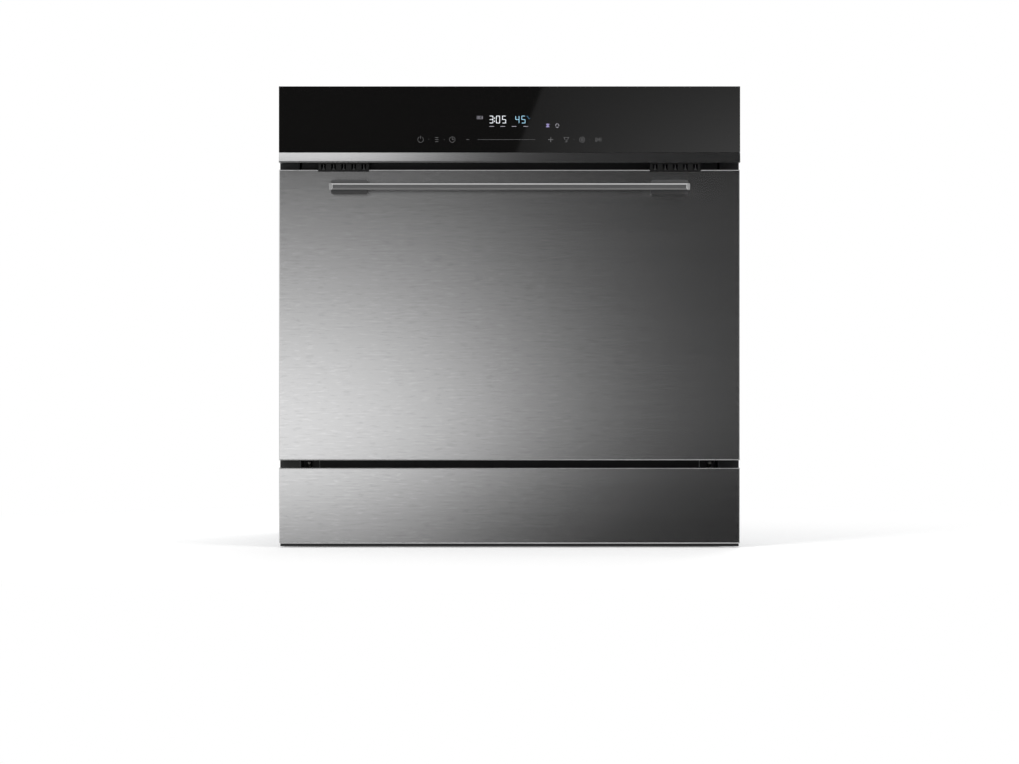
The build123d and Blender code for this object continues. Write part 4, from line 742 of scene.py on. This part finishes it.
screwLook = {
    "radius": 0.0036, "height": 0.0014, "seat": 0.00005, "recess": 0.0010,
    "steps": 32, "slot": 0.42, "hub": 0.17, "sharp": 8, "recessFoot": 0.9,
}
# each step of a head: its share of the radius and of the height
screwSteps = ((1.0, 0.4), (0.93, 0.7), (0.78, 0.92), (0.66, 1.0))
screwSteel = brushedMetal("screwSteel", dict(smallSteelLook, colour=(0.42, 0.42, 0.43), run=600))


def addScrew(shape, place, outward):
    # a low domed head with a cross recess
    look = screwLook
    frameAt = facing(place, outward)
    radius, height = look["radius"], look["height"]
    turns = [2 * math.pi * step / look["steps"] for step in range(look["steps"])]

    def turned(share, z, cross=False):
        points = []
        for turn in turns:
            reach = share * radius
            if cross:
                reach *= look["hub"] + look["slot"] * math.cos(2 * turn) ** look["sharp"]
            points.append(frameAt @ Vector((math.cos(turn) * reach, math.sin(turn) * reach, z)))
        return points

    dome = [turned(share, height * level) for share, level in screwSteps]
    recess = [turned(1.0, height, True), turned(look["recessFoot"], height - look["recess"], True)]
    addRings(shape, [turned(1.0, look["seat"])] + dome + recess)


def screwSet(name, places, outward):
    shape = bmesh.new()
    for place in places:
        addScrew(shape, place, outward)
    return newPiece(name, meshOf(name, shape), screwSteel, "cabinet")


# ribs pressed out of the sheets

sheetRibLook = {"width": 0.020, "height": 0.0030}
tubRibLook = {"width": 0.014, "height": 0.0020}
# each step of a rib's dome: its share of the width and of the height, from the foot to the crown
ribSteps = ((1.0, 0.0), (0.86, 0.3), (0.66, 0.68), (0.42, 0.93), (0.16, 1.0))
ribFoot = -0.0001
ribTurns = 8


def ribSet(name, runs, outward, look, material, body="cabinet"):
    # long low domes; each run is a start and an end on the sheet
    shape = bmesh.new()
    out = Vector(outward)
    for start, end in runs:
        along = (Vector(end) - Vector(start)).normalized()
        side = out.cross(along)
        rings = []
        for share, level in ribSteps:
            half = look["width"] / 2 * share
            rise = look["height"] * level if level else ribFoot
            points = []
            for centre, sign in ((Vector(end), 1), (Vector(start), -1)):
                for step in range(ribTurns + 1):
                    turn = math.pi * (step / ribTurns - 0.5)
                    reach = along * math.cos(turn) * half * sign + side * math.sin(turn) * half * sign
                    points.append(centre + reach + out * rise)
            rings.append(points)
        addRings(shape, rings)
    mesh = meshOf(name, shape)
    mesh.shade_smooth()
    return newPiece(name, mesh, material, body)


sheetLook = {
    "screwDepths": (-0.189, 0.258), "sideScrewRises": (0.05, 0.2, 0.39, 0.55),
    "topScrewPlaces": (-0.24, 0, 0.24), "ribStart": -0.12, "ribEnd": 0.2,
    "sideRibRises": (0.12, 0.3, 0.48), "topRibPlaces": (-0.16, 0, 0.16),
}
# the back panel's recess; each port is its place and one of its two screws, the other lies opposite
recessLook = {
    "face": 0.251, "portRise": 0.062, "ports": ((0.165, -0.019, 0.013), (-0.212, -0.014, 0.017)),
    "rowRise": 0.1, "rowPlaces": (-0.25, -0.08, 0.08, 0.25),
}
tubLook = {
    "wall": 0.2472, "wallStart": -0.13, "wallEnd": 0.2, "wallRises": (0.24, 0.335),
    "back": 0.2252, "backPlaces": (-0.16, -0.09, 0.09, 0.16), "backLow": 0.2, "backHigh": 0.48,
}
linerLook = {"face": -0.184, "half": 0.15, "rises": (0.365, 0.4)}


def makeSideDetails():
    look = sheetLook
    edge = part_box("side_panel_right")[1].x
    for word, side in (("Right", 1), ("Left", -1)):
        x, outward = side * edge, (side, 0, 0)
        places = [(x, y, z) for y in look["screwDepths"] for z in look["sideScrewRises"]]
        screwSet("sideScrews" + word, places, outward)
        runs = [((x, look["ribStart"], z), (x, look["ribEnd"], z)) for z in look["sideRibRises"]]
        ribSet("sideRibs" + word, runs, outward, sheetRibLook, zinc)


def makeTopDetails():
    look = sheetLook
    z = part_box("top_panel")[1].z
    places = [(x, y, z) for x in look["topScrewPlaces"] for y in look["screwDepths"]]
    screwSet("topScrews", places, (0, 0, 1))
    runs = [((x, look["ribStart"], z), (x, look["ribEnd"], z)) for x in look["topRibPlaces"]]
    ribSet("topRibs", runs, (0, 0, 1), sheetRibLook, zinc)


def makeRecessScrews():
    look = recessLook
    places = [
        (x + across * sign, look["face"], look["portRise"] + rise * sign)
        for x, across, rise in look["ports"] for sign in (1, -1)
    ]
    places += [(x, look["face"], look["rowRise"]) for x in look["rowPlaces"]]
    screwSet("recessScrews", places, (0, 1, 0))


def makeTubRibs():
    look = tubLook
    for word, side in (("Right", 1), ("Left", -1)):
        x = side * look["wall"]
        runs = [((x, look["wallStart"], z), (x, look["wallEnd"], z)) for z in look["wallRises"]]
        ribSet("tubRibs" + word, runs, (-side, 0, 0), tubRibLook, tubSteel)
    y = look["back"]
    runs = [((x, y, look["backLow"]), (x, y, look["backHigh"])) for x in look["backPlaces"]]
    ribSet("tubRibsBack", runs, (0, -1, 0), tubRibLook, tubSteel)


def makeLinerRibs():
    look = linerLook
    runs = [((-look["half"], look["face"], z), (look["half"], look["face"], z)) for z in look["rises"]]
    ribSet("linerRibs", runs, (0, 1, 0), tubRibLook, linerSteel, "door")


makeSideDetails()
makeTopDetails()
makeRecessScrews()
makeTubRibs()
makeLinerRibs()
print("screws and ribs made")


# fins in the vents

finLook = {
    "pitch": 0.013, "count": 5, "rib": 0.0011, "foot": 0.0048, "footHigh": 0.0024,
    "back": 0.004, "front": 0.0012, "bottomGap": 0.0016, "topGap": 0.0014,
}


def makeVentFins():
    # a thin upright with a spread foot in each slot of the vents
    look = finLook
    rib, foot = look["rib"] / 2, look["foot"] / 2
    for word in ("Left", "Right"):
        low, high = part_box("vent_grille_" + word.lower())
        bottom, top = low.z + look["bottomGap"], high.z - look["topGap"]
        neck = bottom + look["footHigh"]
        shape = bmesh.new()
        for index in range(look["count"]):
            x = (low.x + high.x) / 2 + (index - (look["count"] - 1) / 2) * look["pitch"]
            outline = [
                (x - foot, bottom), (x + foot, bottom), (x + rib, neck),
                (x + rib, top), (x - rib, top), (x - rib, neck),
            ]
            addPrism(shape, outline, low.y + look["back"], low.y + look["front"])
        newPiece("ventFins" + word, meshOf("ventFins" + word, shape), plastics["fin"], "cabinet")


makeVentFins()
print("vent fins made")


# stage: floor, background, lamps, cards, camera

stageLook = {
    "floorHalf": 30.0, "floorColour": (0.86, 0.86, 0.86), "floorGlow": 0.16, "worldLevel": 0.5,
    "whiteFrom": 0.35, "whiteAt": 1.1,
    "cameraReach": 4.0, "cameraHeight": 0.2136, "frameWidth": 1.3145, "sensor": 36.0,
    "lampsAim": (0, 0, 0.3),
}


def seenDirectly(finish):
    # 1 for camera, glossy and transmission rays
    path = finish.node("LightPath").socket.node.outputs
    seen = Wire(finish, path["Is Camera Ray"]) + Wire(finish, path["Is Glossy Ray"])
    return (seen + Wire(finish, path["Is Transmission Ray"])).atMost(1.0)


def makeFloor():
    look = stageLook
    shape = bmesh.new()
    half = look["floorHalf"]
    corners = [shape.verts.new((x * half, y * half, 0)) for x, y in ((-1, -1), (1, -1), (1, 1), (-1, 1))]
    shape.faces.new(corners)
    finish = Finish(bpy.data.materials.new("paleFloor"))
    seen = seenDirectly(finish)
    diffuse = finish.node("BsdfDiffuse", sockets={"Color": look["floorColour"]})
    glow = finish.node("Emission", sockets={"Strength": seen * look["floorGlow"]})
    near = finish.node("AddShader", sockets={0: diffuse, 1: glow})
    white = finish.node("Emission", sockets={"Color": (1, 1, 1), "Strength": 1.0})
    x, y, z = finish.axes()
    away = (x * x + y * y) ** 0.5
    share = away.smoothly(look["whiteFrom"], look["whiteAt"]) * seen
    both = finish.node("MixShader", sockets={0: share, 1: near, 2: white})
    finish.node("OutputMaterial", sockets={"Surface": both})
    floor = newPiece("floor", meshOf("floor", shape), finish.owner, None)
    floor.visible_glossy = False


def makeWorld():
    world = bpy.data.worlds.new("studio")
    bpy.context.scene.world = world
    finish = Finish(world)
    level = stageLook["worldLevel"]
    strength = level + seenDirectly(finish) * (1 - level)
    background = finish.node("Background", sockets={"Color": (1, 1, 1), "Strength": strength})
    finish.node("OutputWorld", sockets={"Surface": background})


lamps = {
    "keyLamp": {"place": (-2.2, -2.8, 2.6), "size": 1.8, "power": 95},
    "fillLamp": {"place": (2.6, -2.2, 1.6), "size": 2.2, "power": 45},
    "backLamp": {"place": (0.6, 2.8, 2.2), "size": 2.0, "power": 60},
}


def makeLamps():
    for name, look in lamps.items():
        light = bpy.data.lights.new(name, "AREA")
        light.shape = "DISK"
        light.size = look["size"]
        light.energy = look["power"]
        lamp = bpy.data.objects.new(name, light)
        lamp.location = look["place"]
        aim = Vector(stageLook["lampsAim"]) - lamp.location
        lamp.rotation_euler = aim.to_track_quat("-Z", "Y").to_euler()
        lamp.visible_glossy = False
        bpy.context.scene.collection.objects.link(lamp)


# a graded card in front, which the metal mirrors: bright low on the left, dark on the right and high up
cardLook = {
    "reach": 0.7, "halfWidth": 0.75, "bottom": -0.5, "top": 0.88,
    "dark": 0.04, "bright": 1.5, "edge": -0.045, "soft": 0.095,
    "level": 0.13, "spreadUp": 0.236, "fallUp": 1.54, "spreadDown": 0.092,
    "lowEdge": -0.113, "lowSoft": 0.08, "lowDark": 0.008, "lowBright": 1.41, "parting": 0.1, "blur": 0.012,
}
# a card that only the slanted strip under the glass mirrors
trimCardLook = {
    "reach": 0.45, "halfWidth": 0.75, "bottom": 0.647, "top": 0.82,
    "dark": 0.014, "bright": 1.42, "edge": -0.133, "soft": 0.049,
}
# a card that only the glass mirrors, with a slanted left edge
glassCardLook = {
    "reach": 0.5, "halfWidth": 0.5, "bottom": 0.54, "top": 0.645,
    "dark": 0.1, "bright": 0.19, "dropGain": 1.4, "slant": 0.405, "edgeAt": 0.0432, "soft": 0.0012,
}


def cardPiece(name, look, strengthOf):
    # an upright card in front of the glass's plane, seen only in reflections
    shape = bmesh.new()
    y = glassLow.y - look["reach"]
    half = look["halfWidth"]
    corners = ((-half, look["bottom"]), (half, look["bottom"]), (half, look["top"]), (-half, look["top"]))
    shape.faces.new([shape.verts.new((x, y, z)) for x, z in corners])
    finish = Finish(bpy.data.materials.new(name))
    glow = finish.node("Emission", sockets={"Strength": strengthOf(finish, look)})
    finish.node("OutputMaterial", sockets={"Surface": glow})
    card = newPiece(name, meshOf(name, shape), finish.owner, None)
    card.visible_camera = False
    card.visible_diffuse = False
    card.visible_shadow = False
    return card


def mirroredPlace(finish, look):
    # where on the front plane the camera sees this point of the card
    x, y, z = finish.axes()
    share = look["reach"] / stageLook["cameraReach"]
    return x / (1 + share), (z + stageLook["cameraHeight"] * share) / (1 + share)


def fade(x, edge, soft):
    # 1 on the left of the edge, 0 on its right
    return 1 / (1 + math.e ** ((x - edge) / soft))


def metalCardStrength(finish, look):
    x, z = mirroredPlace(finish, look)
    rise = z - look["level"]
    up = (rise.atLeast(0) / look["spreadUp"]) ** look["fallUp"]
    down = rise.atMost(0) / look["spreadDown"]
    height = math.e ** (up * -1 - down * down * 0.5)
    high = fade(x, look["edge"], look["soft"]) * height * look["bright"] + look["dark"]
    low = fade(x, look["lowEdge"], look["lowSoft"]) * height * look["lowBright"] + look["lowDark"]
    lower = fade(z, look["parting"], look["blur"])
    return high + (low - high) * lower


def trimCardStrength(finish, look):
    x = mirroredPlace(finish, look)[0]
    return look["dark"] + fade(x, look["edge"], look["soft"]) * look["bright"]


def glassCardStrength(finish, look):
    x, z = mirroredPlace(finish, look)
    edge = look["edgeAt"] + (z - glassHigh.z) * look["slant"]
    lit = fade(edge, x, look["soft"])
    drop = (glassHigh.z - z) / (glassHigh.z - glassLow.z)
    return look["dark"] + lit * (look["bright"] + x * (drop * look["dropGain"] + 1))


def onlyFor(card, name, *pieces):
    receivers = bpy.data.collections.new(name)
    for piece in pieces:
        receivers.objects.link(piece)
    card.light_linking.receiver_collection = receivers


def makeCards():
    cardPiece("metalCard", cardLook, metalCardStrength)
    onlyFor(cardPiece("trimCard", trimCardLook, trimCardStrength), "trimOnly", nodes["trim_strip"])
    onlyFor(cardPiece("glassCard", glassCardLook, glassCardStrength), "glassOnly", nodes["control_glass"])


def makeCamera():
    look = stageLook
    data = bpy.data.cameras.new("camera")
    data.sensor_width = look["sensor"]
    data.lens = look["sensor"] * look["cameraReach"] / look["frameWidth"]
    camera = bpy.data.objects.new("camera", data)
    camera.location = (0, glassLow.y - look["cameraReach"], look["cameraHeight"])
    camera.rotation_euler = (math.pi / 2, 0, 0)
    bpy.context.scene.collection.objects.link(camera)
    bpy.context.scene.camera = camera


makeFloor()
makeWorld()
makeLamps()
makeCards()
makeCamera()
bpy.context.scene.view_settings.view_transform = "Standard"
print("stage and camera made")
